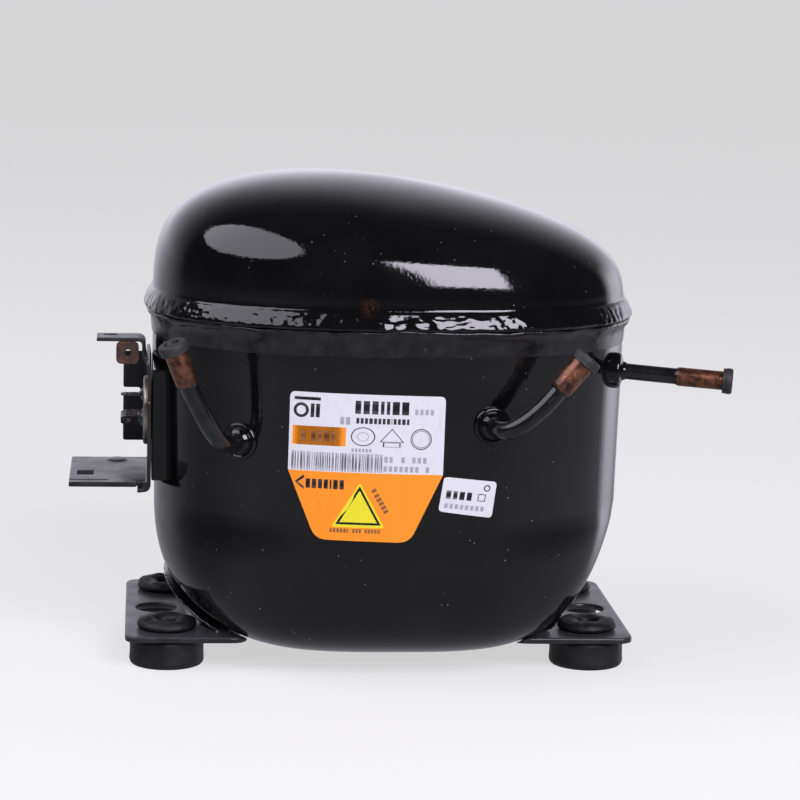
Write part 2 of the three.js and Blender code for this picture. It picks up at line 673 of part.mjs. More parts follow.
function addCrankcase() {
  const reach = BOLT_OFFSET + 8;
  const square = roundedRectangle(CRANK_X - reach, CRANK_X + reach, -reach, reach, 12);
  const deck = slab(square, DECK_BOTTOM, DECK_TOP, 4);
  const waistAt = reach + 12;
  const waistSpots = [[CRANK_X, -waistAt], [CRANK_X, waistAt], [CRANK_X + waistAt, 0]];
  const waists = waistSpots.map(([x, y]) => bar([x, y, 100], [x, y, 130], WAIST_R));
  const legs = boltCorners().map(([x, y]) => bar([x, y, STATOR_TOP + GAP], [x, y, DECK_BOTTOM + 1], 7.5, 16));
  const hub = bar([CRANK_X, 0, 95], [CRANK_X, 0, DECK_BOTTOM + 1], 17);
  const blockBack = CRANKPIN_X - SLIDE_TUBE_R - 2;
  const block = slabAlongX(squareAround(BLOCK_HALF, 6), CYLINDER_FACE_X, blockBack, 3);
  const foot = box([CYLINDER_FACE_X, blockBack], [-BLOCK_HALF, BLOCK_HALF], [DECK_BOTTOM, CYLINDER_Z - 10]);
  const body = join(cut(deck, ...waists), ...legs, hub, block, foot);
  const bore = bar([CYLINDER_FACE_X - 5, 0, CYLINDER_Z], [blockBack + 5, 0, CYLINDER_Z], PISTON_R + 0.45, 24);
  const shaftBore = bar([CRANK_X, 0, 80], [CRANK_X, 0, 140], SHAFT_R + 0.35);
  const headHoles = headBoltSpots().map(([y, z]) => bar([-60, y, z], [-28, y, z], HEAD_BOLT_R + 0.4, 8));
  const boltHoles = boltCorners().map(([x, y]) => bar([x, y, 80], [x, y, 117], BOLT_R + 0.6, 8));
  add('crankcase', cut(body, bore, shaftBore, ...headHoles, ...boltHoles), CAST_IRON());
}

function addCylinderHead() {
  const throughHoles = headBoltSpots().map(([y, z]) => bar([-80, y, z], [-30, y, z], HEAD_BOLT_R + 0.4, 8));
  const stack = (near, thick) => [near - thick, near];
  const [reedBack, reedFace] = stack(CYLINDER_FACE_X - GAP, REED_THICK);
  const [plateBack, plateFace] = stack(reedBack - GAP, VALVE_PLATE_THICK);
  const [dischargeBack, dischargeFace] = stack(plateBack - GAP, REED_THICK);
  const [headBack, headFace] = stack(plateBack - GAP, HEAD_THICK);

  const tongueSlot = cut(
    box([-60, -30], [-5.2, 5.2], [CYLINDER_Z - 9, CYLINDER_Z + 11]),
    box([-61, -29], [-4, 4], [CYLINDER_Z - 10, CYLINDER_Z + 9.8]),
  );
  const reed = slabAlongX(squareAround(BLOCK_HALF, 5), reedBack, reedFace, 3);
  add('suction_reed', cut(reed, ...throughHoles, tongueSlot), SPRING_STEEL());

  const ports = [[0, CYLINDER_Z + 5.5, 2.6], [0, CYLINDER_Z - 12.2, 0.9]];
  const portHoles = ports.map(([y, z, radius]) => bar([-60, y, z], [-30, y, z], radius, 8));
  const dischargePort = bar([-60, 8, CYLINDER_Z - 4], [-30, 8, CYLINDER_Z - 4], 2, 8);
  const plate = slabAlongX(squareAround(BLOCK_HALF, 5), plateBack, plateFace, 3);
  add('valve_plate', cut(plate, ...throughHoles, ...portHoles, dischargePort), BRIGHT_STEEL());

  const flap = roundedRectangle(5, 11, CYLINDER_Z - 10, CYLINDER_Z + 8, 2.9);
  add('discharge_reed', slabAlongX(flap, dischargeBack, dischargeFace, 3), SPRING_STEEL());

  const cover = slabAlongX(squareAround(BLOCK_HALF, 5), headBack, headFace, 3);
  const chamber = box([headFace - 8, headFace + 1], [2, 13.5], [CYLINDER_Z - 12, CYLINDER_Z + 12]);
  const inlet = box([headFace - 8, headFace + 1], [-13.5, -0.5], [CYLINDER_Z - 12, CYLINDER_Z + 12]);
  const outlet = bar([headFace - 5, 5, CYLINDER_Z], [headFace - 5, 30, CYLINDER_Z], 1.9, 12);
  const intake = bar([headBack - 3, -7, CYLINDER_Z], [headFace - 5, -7, CYLINDER_Z], 4, 12);
  const openings = [chamber, inlet, outlet, intake, ...throughHoles];
  add('cylinder_head', cut(cover, ...openings), finish(0x8f9194, 0.45, 0.9));

  headBoltSpots().forEach(([y, z], i) => {
    const shank = bar([headBack - 1, y, z], [-30, y, z], HEAD_BOLT_R, 8);
    const head = bar([headBack - 4.3, y, z], [headBack - GAP, y, z], 4.2, 6);
    add(`head_bolt_${i + 1}`, join(shank, head), finish(0x2b2c30, 0.4, 0.8));
  });

  const muffler = slabAlongX(roundedRectangle(-20, 20, 121, 157, 7), -82, headBack - 4.6, 4);
  const throat = bar([headBack - 4.8, -7, 147], [headBack - 1, -7, 147], 3.4, 12);
  add('suction_muffler', join(muffler, throat), finish(0xd8d2c0, 0.6));
  return { outletX: headFace - 5 };
}

function addDischargeLine(outletX) {
  const route = [
    [outletX, BLOCK_HALF + GAP, CYLINDER_Z], [outletX, BLOCK_HALF + 12, CYLINDER_Z - 1],
    [outletX + 8, 46, 138], [-28, 57, 128], [0, 62.5, 122], [35, 62.5, 121], [62, 54, 121], [77, 38, 121],
    [84, 18, 120.5], [86, 0, 120.3], [84.5, -14, 120.8], [80.5, -26, 121.3], [79.2, -34, 121.6],
    [82.4, -37.9, 121.7],
  ];
  add('discharge_line', solidSweep(routeCurve(route), 28, 2, 6), COPPER());
}

function addCrank() {
  const webTop = 130;
  const pinTop = 166;
  const journal = bar([CRANK_X, 0, 34], [CRANK_X, 0, DECK_TOP + 1], SHAFT_R);
  const web = bar([CRANK_X, 0, DECK_TOP + 0.5], [CRANK_X, 0, webTop], WEB_R, 20);
  const pin = bar([CRANKPIN_X, 0, webTop - 1], [CRANKPIN_X, 0, pinTop], SHAFT_R);
  const rivetX = CRANK_X - CRANK_THROW / 2;
  const rivetHole = bar([rivetX, 0, 157], [rivetX, 0, 180], RIVET_R + 0.35);
  add('crankshaft', cut(join(journal, web, pin), rivetHole), CAST_IRON());

  const lobe = new THREE.Shape();
  lobe.moveTo(CRANK_X, -COUNTERWEIGHT_R);
  lobe.absarc(CRANK_X, 0, COUNTERWEIGHT_R, -Math.PI / 2, Math.PI / 2);
  lobe.lineTo(CRANKPIN_X, COUNTERWEIGHT_NOSE_R);
  lobe.absarc(CRANKPIN_X, 0, COUNTERWEIGHT_NOSE_R, Math.PI / 2, 1.5 * Math.PI);
  const plate = slab(lobe, pinTop + GAP, pinTop + 5.3, 10);
  add('counterweight', cut(plate, rivetHole), SPRING_STEEL());

  const rivet = bar([rivetX, 0, 158], [rivetX, 0, pinTop + 6], RIVET_R);
  const rivetHead = bar([rivetX, 0, pinTop + 5.6], [rivetX, 0, pinTop + 8], RIVET_R + 2.1);
  add('counterweight_rivet', join(rivet, rivetHead), BRIGHT_STEEL());

  const pickup = [[3, 14], [4.2, 14], [5.4, 30], [5.4, 33.7], [4.2, 33.7], [4.2, 30]];
  add('oil_pickup', turned(pickup, [CRANK_X, 0, 0], [0, 0, 1], 16), SPRING_STEEL());
}

function addPiston() {
  const block = bar([CRANKPIN_X, -11, CYLINDER_Z], [CRANKPIN_X, 11, CYLINDER_Z], SLIDE_BORE_R - GAP);
  const pinBore = bar([CRANKPIN_X, 0, 120], [CRANKPIN_X, 0, 180], SHAFT_R + 0.35);
  add('slider_block', cut(block, pinBore), CAST_IRON());

  const reach = SLIDE_HALF_LENGTH;
  const tube = bar([CRANKPIN_X, -reach, CYLINDER_Z], [CRANKPIN_X, reach, CYLINDER_Z], SLIDE_TUBE_R);
  const skirt = bar([CROWN_X, 0, CYLINDER_Z], [CRANKPIN_X, 0, CYLINDER_Z], PISTON_R, 24);
  const bore = bar([CRANKPIN_X, -60, CYLINDER_Z], [CRANKPIN_X, 60, CYLINDER_Z], SLIDE_BORE_R + 0.1);
  const hollow = bar([CROWN_X + 7, 0, CYLINDER_Z], [CRANKPIN_X, 0, CYLINDER_Z], 9.5);
  const slotX = SHAFT_R + 0.5;
  const slotY = SHAFT_R + CRANK_THROW + 1;
  const slot = box([CRANKPIN_X - slotX, CRANKPIN_X + slotX], [-slotY, slotY], [120, 180]);
  add('piston_slide_tube', cut(join(tube, skirt), bore, hollow, slot), CAST_IRON());
}

// ---------------------------------------------------------------- assembly

const headerOpening = bar([-100, HEADER_Y, HEADER_Z], [-80, HEADER_Y, HEADER_Z], 11.4);
addShells([tubeOpening(SUCTION), tubeOpening(PROCESS), tubeOpening(DISCHARGE), headerOpening]);
addFootPlate('foot_plate_left', -1);
addFootPlate('foot_plate_right', 1);
addGrommet('grommet_front_left', -STUD_X, -STUD_Y);
addGrommet('grommet_front_right', STUD_X, -STUD_Y);
addGrommet('grommet_rear_left', -STUD_X, STUD_Y);
addGrommet('grommet_rear_right', STUD_X, STUD_Y);
for (const [name, tube] of [['suction', SUCTION], ['process', PROCESS], ['discharge', DISCHARGE]]) {
  addTube(name, tube);
  addCollar(name, tube);
}
addTerminals();
addBracket();
addLabel('rating_label', [[-39, 117.2], [20.6, 116], [20.4, 85.2], [7.9, 58.3], [-28.7, 59.4], [-39.3, 86.3]],
  finish(0xf0efe9, 0.4));
addLabel('small_label', [[20.9, 84.6], [41.8, 82], [39.9, 67.6], [18.7, 70.9]], finish(0xf0efe9, 0.4));
addMotor();
addSuspension();
addCrankcase();
const { outletX } = addCylinderHead();
addDischargeLine(outletX);
addCrank();
addPiston();

export default assembly;
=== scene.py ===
import json
import math

import bmesh
import bpy
import numpy as np
from mathutils import Matrix, Vector, noise


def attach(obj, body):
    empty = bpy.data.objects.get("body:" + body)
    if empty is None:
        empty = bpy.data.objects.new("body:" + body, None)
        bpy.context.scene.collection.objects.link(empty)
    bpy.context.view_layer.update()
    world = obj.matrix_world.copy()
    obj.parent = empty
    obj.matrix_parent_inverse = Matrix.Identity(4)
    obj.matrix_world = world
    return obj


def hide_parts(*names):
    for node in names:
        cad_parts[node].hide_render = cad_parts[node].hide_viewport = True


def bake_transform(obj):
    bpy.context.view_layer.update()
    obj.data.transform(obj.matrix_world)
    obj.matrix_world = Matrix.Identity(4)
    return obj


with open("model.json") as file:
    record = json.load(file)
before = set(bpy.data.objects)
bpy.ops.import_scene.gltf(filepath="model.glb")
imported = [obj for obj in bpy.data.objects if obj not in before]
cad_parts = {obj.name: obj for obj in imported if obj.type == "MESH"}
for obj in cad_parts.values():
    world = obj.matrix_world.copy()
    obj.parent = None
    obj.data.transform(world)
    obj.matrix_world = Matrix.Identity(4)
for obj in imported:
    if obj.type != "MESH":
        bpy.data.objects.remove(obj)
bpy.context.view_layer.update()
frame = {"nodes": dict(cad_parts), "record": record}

# Lengths are millimetres in the row frame, and mesh_object turns them into metres.
MM = 0.001

# ---- driving dimensions

SHELL_X = 3.8  # the shell's middle along X
HALF_X = 94.3
HALF_Y = 77.0
DRAFT = 1.2  # how much the wall widens from its foot to the seam
SHEET = 3.0
WALL_FOOT_Z = 65.0
BELLY_DEPTH = 60.0
BELLY_POWER = 2.8
BELLY_FRONT_POWER = 4.0  # the belly is fuller at its front and back
BELLY_END_EASE = 1.3  # the +X end of the belly is rounder by this much
PLAN_POWER = 2.5
BELLY_PLAN_POWER = 3.2
SEAM_Z = 141.0
RIM_Z = 146.4
LIP_Z = 141.4
FLARE = [  # height and how far the cover's skirt stands out from the wall there
    (141.4, 3.1), (141.9, 3.5), (142.8, 3.4), (145.0, 2.4), (147.9, 1.0), (148.6, 0.25), (149.5, 0.03),
    (151.0, 0.0)]
SKIRT_TOP_Z = 149.5
# unevenness as waves of a length, an amplitude and a seed; the skirt was hammered and run over with weld
LOWER_WAVES = [(48, 0.16, 3), (17, 0.05, 9)]
COVER_WAVES = [(52, 0.22, 5), (19, 0.06, 12)]
SKIRT_WAVES = [(13, 0.42, 21), (5.5, 0.26, 61), (2.8, 0.25, 31), (1.1, 0.13, 41)]
BEAD_TOP_Z = 141.1
BEAD_BOTTOM_Z = 131.0
RIPPLE_PITCH = 3.1
DOME_RISE = 53.1
DOME_SLOPE = 0.205
DOME_PLAN_POWER = 1.9
DOME_RISE_POWER = 3.6

STUD_X = 85.0
STUD_Y = 35.0
STUD_HOLE_R = 3.75
PLATE_OUTER_X = 101.75
PLATE_INNER_X = 53.0
PLATE_HALF_Y = 52.5
PLATE_TOP = 14.3
PLATE_THICK = 2.5
PLATE_HOLE_X = 89.0
PLATE_HOLE_R = 8.25
GROMMET_NECK_R = 9.0
GROMMET_BOTTOM = [  # radius, height and rounding
    (STUD_HOLE_R, 0.4, 0.4), (4.6, 0.0, 0.4), (14.2, 0.0, 1.4), (15, 1.6, 1.2), (14.7, 5.8, 2.0),
    (15, 10.2, 1.2), (14.2, 11.5, 1.0), (GROMMET_NECK_R + 0.1, 11.5, 0.2)]
GROMMET_LIP = [
    (GROMMET_NECK_R + 0.1, 14.6, 0.2), (11.4, 14.7, 0.7), (12.1, 15.9, 1.2), (11.0, 17.9, 1.8),
    (7.2, 18.9, 1.8), (4.8, 18.1, 1.0), (STUD_HOLE_R, 16.6, 0.8)]
FLANGE_TOP = 31.0
FLANGE_HALF_Y = 48.0
FLANGE_ARCH_POWER = 2.6
FLANGE_ARCH_EASE = 0.9
BEND = [(0.5, 3.4), (1.1, 2.2), (1.9, 1.3), (3.0, 0.6)]  # extra thickness and height at the flange's foot
GAP = 0.3

COLLAR_R = 7.4
TUBE_WALL = 0.9
PLUG_WALL = 1.4
TUBES = {
    "suction": {
        "route": [(-54, -58.5, 96), (-58, -66, 96), (-61.5, -74.5, 96.3), (-65.5, -82, 98.5),
                  (-70.2, -87.5, 105), (-74.6, -90.5, 113.5), (-78.5, -92.6, 122), (-84.2, -95, 136.5)],
        "painted": 3.5, "bare": 4.35, "bore": 2.9, "bare_from": 0.79,
    },
    "process": {
        "route": [(38, -67.5, 104.5), (39.3, -75.5, 104.5), (41, -83.5, 104.2), (44.5, -88, 104.8),
                  (50, -89.5, 108), (57, -89, 113.8), (63, -88, 120.3), (73.2, -87, 132)],
        "painted": 3.5, "bare": 4.5, "bore": 2.9, "bare_from": 0.76,
    },
    "discharge": {
        "route": [(84.6, -38.4, 121.6), (91.7, -40, 121.3), (105.2, -43.1, 120.5), (119.2, -46.3, 119.7),
                  (136, -50.1, 118.8)],
        "painted": 3.2, "bare": 3.75, "bore": 2.6, "bare_from": 0.62,
    },
}
DISCHARGE_LINE_R = 2.0
DISCHARGE_LINE = [
    (-56.6, 23.3, 146), (-56.6, 35, 145), (-48.6, 46, 138), (-28, 57, 128), (0, 62.5, 122), (35, 62.5, 121),
    (62, 54, 121), (77, 38, 121), (84, 18, 120.5), (86, 0, 120.3), (84.5, -14, 120.8), (80.5, -26, 121.3),
    (79.2, -34, 121.6), (82.4, -37.9, 121.7),
]

HEADER_Y = -9.0
HEADER_Z = 98.4
HEADER_R = 14.0
HEADER_NECK_R = 11.0
PIN_CIRCLE_R = 6.4
BRACKET_X = -92.0
BRACKET_SHEET = 1.5
BRACKET_FRONT = -37.0
BRACKET_BACK = 19.0
LOWER_TAB_END = -124.5
LOWER_TAB_TOP = 73.8
LOWER_TAB_THICK = 2.0
UPPER_TAB_END = -114.0
UPPER_TAB_TOP = 129.5
UPPER_TAB_FRONT = -22.0
UPPER_TAB_BACK = -7.0
NECK_OUT = 2.4  # the strip under the upper tab stands out from the bracket's face
NECK_BOTTOM = 122.5
NECK_FOOT = 117.5
FACE_TOP = 118.0
FACE_BOTTOM = 70.6
WING_X = -103.5  # the rear wing's outer edge
WING_BOTTOM = 81.0
WING_SLOT = (100.6, 103.2)
BLOCK_TOP = 118.5  # top of the wing and of the pad behind the bracket, which is also a dark block filling the shaded gap there
BOSS = (-105.8, 12.0)  # the pressed boss on the lower tab
UPPER_SLOT = (-111, -105.8, -13.5, -10.5)  # X and Y of the bracket's cut-outs
LOWER_SLOT = (-121.5, -115, -21, -11.5)
LOWER_SLIT = (-130, -109, -32.6, -31.4)
CORNER_RELIEF = (-99.5, -93.9, -33.4, -31.6)
EARTH_TAB_X = (-106.2, -97.2)
EARTH_TAB_Y = (-21.8, -21.0)
EARTH_TAB_BOTTOM = 118.9
EARTH_HOLE = (-101.5, 123.4)
PIN_BLADE = [
    (-96.2, -2.4, 0.3), (-96.2, 2.4, 0.3), (-102.9, 2.4, 0.2), (-104.3, 1.5, 0.4), (-104.3, -1.5, 0.4),
    (-102.9, -2.4, 0.2)]
PIN_HALF_THICK = 0.4
PIN_STEM_R = 1.15
PIN_DETENT_X = -101.3
PIN_DETENT_R = 0.7

CRANK_X = 14.0
BOLT_OFFSET = 43.0
SPRING_R = 7.2
SPRING_WIRE_R = 1.0
SPRING_COILS = 4
SPRING_BOTTOM = 26.0
SPRING_TOP = 40.0

LABEL_TILT = math.radians(1.15)  # the rating label is stuck on slightly turned
LABEL_CORNER = (-39.0, 117.2)  # its top left corner, X and Z
WHITE_BOTTOM = 30.8  # where it turns from white to orange
SMALL_LABEL_TILT = math.radians(6.6)
SMALL_LABEL_LEAN = math.radians(8.3)
SMALL_LABEL_CORNER = (20.9, 84.6)
LABEL_OFFSET = 0.3  # from the shell's smooth surface
LABEL_THICK = 0.12
INK_THICK = 0.04
INK_OFFSET = LABEL_OFFSET + LABEL_THICK + 0.035
SECOND_INK_OFFSET = INK_OFFSET + 0.045  # print on print
PRINT_STEP = 3.0  # longest piece of print that is left straight
HOOP_PIECES = 40

CAMERA_PLACE = (-0.0963, -1.1922, 0.2980)  # metres
CAMERA_TURN = (-5.092, -9.31, -1.341)  # yaw, pitch and roll in degrees
CAMERA_LENS = 132.75
SKY_COLOUR = (0.90, 0.88, 1.0)
SOFTBOX_COLOUR = (0.90, 0.87, 1.0)
SOFTBOX_AIM = (0, 0, 0.12)
FLOOR_RADIUS = 14

# ---- mesh helpers


def mesh_object(name, points, faces, material, sharp=40.0, along=None):
    """A smooth-shaded object from points in millimetres, with creases above an angle.
    along, if given, is each point's share of a tube's length, for the material to read."""
    mesh = bpy.data.meshes.new(name)
    mesh.from_pydata((np.asarray(points, float) * MM).tolist(), [], faces)
    work = bmesh.new()
    work.from_mesh(mesh)
    bmesh.ops.recalc_face_normals(work, faces=work.faces)
    work.to_mesh(mesh)
    work.free()
    if along is not None:
        mesh.attributes.new("along", "FLOAT", "POINT").data.foreach_set("value", along)
    shade(mesh, sharp)
    mesh.materials.append(material)
    obj = bpy.data.objects.new(name, mesh)
    bpy.context.scene.collection.objects.link(obj)
    return obj


def shade(mesh, sharp):
    mesh.polygons.foreach_set("use_smooth", [True] * len(mesh.polygons))
    mesh.set_sharp_from_angle(angle=math.radians(sharp))


def loft(rings, loops=False):
    """Points and faces of a skin over rings of equal length; loops joins the last ring to the first."""
    rings = np.asarray(rings, float)
    count, around = rings.shape[:2]
    faces = []
    for i in range(count if loops else count - 1):
        low = i * around
        high = ((i + 1) % count) * around
        for j in range(around):
            after = (j + 1) % around
            faces.append((low + j, low + after, high + after, high + j))
    if not loops:
        faces.append(tuple(reversed(range(around))))
        faces.append(tuple(range((count - 1) * around, count * around)))
    return rings.reshape(-1, 3), faces


def soften(outline, radius, steps, closed=True):
    """The outline with each corner replaced by a round curve; a corner's own radius may follow its place."""
    corners = [(np.array(p[:2], float), p[2] if len(p) > 2 else radius) for p in outline]
    result = []
    for i, (corner, reach) in enumerate(corners):
        if not closed and i in (0, len(corners) - 1):
            result.append(corner)
            continue
        before = corners[i - 1][0] - corner
        after = corners[(i + 1) % len(corners)][0] - corner
        reach = min(reach, 0.48 * np.linalg.norm(before), 0.48 * np.linalg.norm(after))
        start = corner + before / np.linalg.norm(before) * reach
        end = corner + after / np.linalg.norm(after) * reach
        for t in np.linspace(0, 1, steps + 1):
            result.append((1 - t) ** 2 * start + 2 * t * (1 - t) * corner + t**2 * end)
    return result


def axis_matrix(origin, axis):
    """Turns +Z to the axis and moves the origin, for points in millimetres."""
    turn = Vector((0, 0, 1)).rotation_difference(Vector(axis).normalized()).to_matrix().to_4x4()
    return Matrix.Translation(Vector(origin)) @ turn


def placed(points, matrix):
    points = np.asarray(points, float).reshape(-1, 3)
    matrix = np.array(matrix)
    return points @ matrix[:3, :3].T + matrix[:3, 3]


def lathe(profile, origin=(0, 0, 0), axis=(0, 0, 1), sides=64):
    """Points and faces of a profile of (radius, height) turned about an axis.
    A profile that starts on the axis ends on it too; any other is a closed loop."""
    angles = np.linspace(0, 2 * math.pi, sides, endpoint=False)
    rings = [
        np.stack([max(r, 0.02) * np.cos(angles), max(r, 0.02) * np.sin(angles), np.full(sides, h)], 1)
        for r, h in profile
    ]
    points, faces = loft(rings, loops=profile[0][0] > 0.02)
    return placed(points, axis_matrix(origin, axis)), faces


def route_points(route, count):
    """Evenly spaced points on a centripetal Catmull-Rom curve through the route, and its directions."""
    stops = [np.array(p, float) for p in route]
    stops = [2 * stops[0] - stops[1], *stops, 2 * stops[-1] - stops[-2]]
    dense = []
    for p0, p1, p2, p3 in zip(stops, stops[1:], stops[2:], stops[3:]):
        d0, d1, d2 = (math.sqrt(np.linalg.norm(b - a)) for a, b in ((p0, p1), (p1, p2), (p2, p3)))
        leave = ((p1 - p0) / d0 - (p2 - p0) / (d0 + d1) + (p2 - p1) / d1) * d1
        arrive = ((p2 - p1) / d1 - (p3 - p1) / (d1 + d2) + (p3 - p2) / d2) * d1
        for t in np.linspace(0, 1, 40, endpoint=False):
            dense.append(p1 + leave * t + (3 * (p2 - p1) - 2 * leave - arrive) * t**2
                         + (2 * (p1 - p2) + leave + arrive) * t**3)
    dense.append(stops[-2])
    return even(np.array(dense), count)


def even(dense, count):
    """The dense line cut to evenly spaced points, and the direction at each."""
    lengths = np.concatenate([[0], np.cumsum(np.linalg.norm(np.diff(dense, axis=0), axis=1))])
    spots = np.linspace(0, lengths[-1], count)
    points = np.stack([np.interp(spots, lengths, dense[:, k]) for k in range(3)], 1)
    tangents = np.gradient(points, axis=0)
    return points, tangents / np.linalg.norm(tangents, axis=1)[:, None]


def tube_rings(points, tangents, radii, sides):
    """Rings round a line, kept free of twist."""
    normal = np.cross((0, 0, 1), tangents[0])
    angles = np.linspace(0, 2 * math.pi, sides, endpoint=False)
    rings = []
    for point, tangent, radius in zip(points, tangents, radii):
        normal = normal - tangent * (normal @ tangent)
        normal = normal / np.linalg.norm(normal)
        side = np.cross(tangent, normal)
        rings.append(point + radius * (np.outer(np.cos(angles), normal) + np.outer(np.sin(angles), side)))
    return rings


def prism(outline, low, high, frame_axes="xyz"):
    """Points and faces of an outline pulled from low to high along the third named axis."""
    count = len(outline)
    order = ["xyz".index(letter) for letter in frame_axes]
    points = np.zeros((2 * count, 3))
    points[:, order[:2]] = np.concatenate([outline, outline])
    points[:, order[2]] = np.repeat([low, high], count)
    faces = [tuple(range(count)), tuple(range(2 * count - 1, count - 1, -1))]
    for i in range(count):
        after = (i + 1) % count
        faces.append((i, i + count, after + count, after))
    return points, faces


def box(x, y, z):
    return prism([(x[0], y[0]), (x[1], y[0]), (x[1], y[1]), (x[0], y[1])], z[0], z[1])


def rectangle(x0, x1, y0, y1, radius):
    return soften([(x0, y0), (x1, y0), (x1, y1), (x0, y1)], radius, 6)


def round_bar(start, end, radius, sides=48):
    start = Vector(start)
    axis = Vector(end) - start
    return lathe([(0, 0), (radius, 0), (radius, axis.length), (0, axis.length)], start, axis, sides)


def fused(name, added, removed, material, voxel, smoothing):
    """One body out of solids added and removed, with edges rounded as thick paint leaves them."""
    helpers = []

    def helper(solid):
        obj = mesh_object(f"{name}_tool_{len(helpers)}", *solid, material)
        helpers.append(obj)
        return obj

    base = helper(added[0])
    steps = [("UNION", solid) for solid in added[1:]] + [("DIFFERENCE", solid) for solid in removed]
    for operation, solid in steps:
        combine(base, helper(solid), operation)
    remesh = base.modifiers.new("remesh", "REMESH")
    remesh.mode = "VOXEL"
    remesh.voxel_size = voxel * MM
    smooth = base.modifiers.new("smooth", "SMOOTH")
    smooth.factor = 0.5
    smooth.iterations = smoothing
    obj = bpy.data.objects.new(name, baked(base))
    shade(obj.data, 60)
    bpy.context.scene.collection.objects.link(obj)
    for used in helpers:
        bpy.data.objects.remove(used)
    return obj


def combine(obj, other, operation):
    modifier = obj.modifiers.new(operation.lower(), "BOOLEAN")
    modifier.operation = operation
    modifier.solver = "MANIFOLD"
    modifier.object = other
    other.hide_render = True


def baked(obj):
    """The object's mesh with its modifiers applied."""
    graph = bpy.context.evaluated_depsgraph_get()
    return bpy.data.meshes.new_from_object(obj.evaluated_get(graph))


def bevel(obj, width):
    modifier = obj.modifiers.new("bevel", "BEVEL")
    modifier.width = width * MM
    modifier.segments = 2
    modifier.limit_method = "ANGLE"
    modifier.angle_limit = math.radians(35)
    modifier.harden_normals = False


def stand_for(obj, node, body="shell"):
    """obj takes the place of a CAD node and rides on its body."""
    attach(obj, body)
    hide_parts(node)


# ---- shell surfaces


def plan(angles, half_x, half_y, power):
    """X and Y of a superellipse round the shell's middle."""
    cos, sin = np.cos(angles), np.sin(angles)
    x = SHELL_X + half_x * np.sign(cos) * np.abs(cos) ** (2 / power)
    return x, half_y * np.sign(sin) * np.abs(sin) ** (2 / power)


def wall_ring(angles, z, offset):
    rise = np.clip((z - WALL_FOOT_Z) / BELLY_DEPTH, 0, 1)
    x, y = plan(angles, HALF_X + DRAFT * rise + offset, HALF_Y + DRAFT * rise + offset, PLAN_POWER)
    return np.stack([x, y, np.broadcast_to(z, angles.shape)], 1)


def belly_ring(angles, share, offset):
    fuller = (BELLY_FRONT_POWER - BELLY_POWER) * np.sin(angles) ** 2
    roundness = BELLY_POWER + fuller - BELLY_END_EASE * np.clip(np.cos(angles), 0, 1) ** 5
    inward = (1 - share**roundness) ** (1 / roundness)
    power = PLAN_POWER + (BELLY_PLAN_POWER - PLAN_POWER) * share
    x, y = plan(angles, (HALF_X + offset) * inward, (HALF_Y + offset) * inward, power)
    return np.stack([x, y, np.full(angles.shape, WALL_FOOT_Z - (BELLY_DEPTH + offset) * share)], 1)


def flare(z):
    """How far the cover stands out from the dome at a height, down to the lip."""
    heights, offsets = zip(*soften(FLARE, 0.55, 6, closed=False))
    return np.interp(z, heights, offsets)


def dome_ring(angles, turn, offset, skirt=False):
    spread = math.cos(turn) ** (2 / DOME_PLAN_POWER)
    rise = math.sin(turn) ** (2 / DOME_RISE_POWER)
    reach_x = HALF_X + DRAFT + offset
    x, y = plan(angles, reach_x * spread, (HALF_Y + DRAFT + offset) * spread, PLAN_POWER)
    z = SEAM_Z + (DOME_RISE * (1 - DOME_SLOPE * (x - SHELL_X) / (HALF_X + DRAFT)) + offset) * rise
    if skirt:
        out = flare(z)
        x, y = plan(angles, reach_x * spread + out, (HALF_Y + DRAFT + offset) * spread + out, PLAN_POWER)
    return np.stack([x, y, z], 1)


def belly_shares(count):
    """Shares of the belly's depth from the bottom up, close together where it curls."""
    turns = np.linspace(math.pi / 2 - 0.02, 0.04, count)
    return np.sin(turns) ** (2 / BELLY_POWER)


def dome_turns():
    low = np.arcsin((np.linspace(0.008, 0.30, 50)) ** (DOME_RISE_POWER / 2))
    return np.concatenate([low, np.linspace(low[-1], math.pi / 2 - 0.004, 62)[1:]])


def shell_body(offset, top):
    """A solid of everything inside the lower shell's outside, grown by an offset, up to a height."""
    angles = np.linspace(0, 2 * math.pi, 160, endpoint=False)
    rings = [belly_ring(angles, share, offset) for share in belly_shares(44)]
    rings = [ring for ring in rings if ring[0, 2] < top]
    if top > WALL_FOOT_Z:
        rings.append(wall_ring(angles, WALL_FOOT_Z, offset))
        rings.append(wall_ring(angles, top, offset))
    return loft(rings)


def front_y(x, z, offset):
    """Y of the shell's front at a place, moved out by an offset."""
    x = np.asarray(x, float)
    z = np.asarray(z, float)
    share = np.clip((WALL_FOOT_Z - z) / (BELLY_DEPTH + offset), 0, 0.999)
    rise = np.clip((z - WALL_FOOT_Z) / BELLY_DEPTH, 0, 1)
    inward = (1 - share**BELLY_FRONT_POWER) ** (1 / BELLY_FRONT_POWER)
    power = PLAN_POWER + (BELLY_PLAN_POWER - PLAN_POWER) * share
    across = np.abs(x - SHELL_X) / ((HALF_X + DRAFT * rise + offset) * inward)
    return -(HALF_Y + DRAFT * rise + offset) * inward * (1 - across**power) ** (1 / power)


def roughened(points, normals, waves):
    """Moves points along their normals by noise; each wave is a wavelength, an amplitude and a seed."""
    moved = np.array(points)
    for i, (point, normal) in enumerate(zip(points, normals)):
        shift = 0.0
        for length, amplitude, seed in waves:
            shift += amplitude * noise.noise(Vector(point) / length + Vector((seed, 0, 0)))
        moved[i] += shift * normal
    return moved


def outward(points):
    """Rough outward directions of shell points, flat where the wall is and up on the dome."""
    middle = np.array([SHELL_X, 0, np.clip(points[:, 2].mean(), 90, 150)])
    scale = 1 / np.array([HALF_X, HALF_Y, 90.0])
    direction = (points - middle) * scale**2
    return direction / np.linalg.norm(direction, axis=1)[:, None]


# ---- material helpers


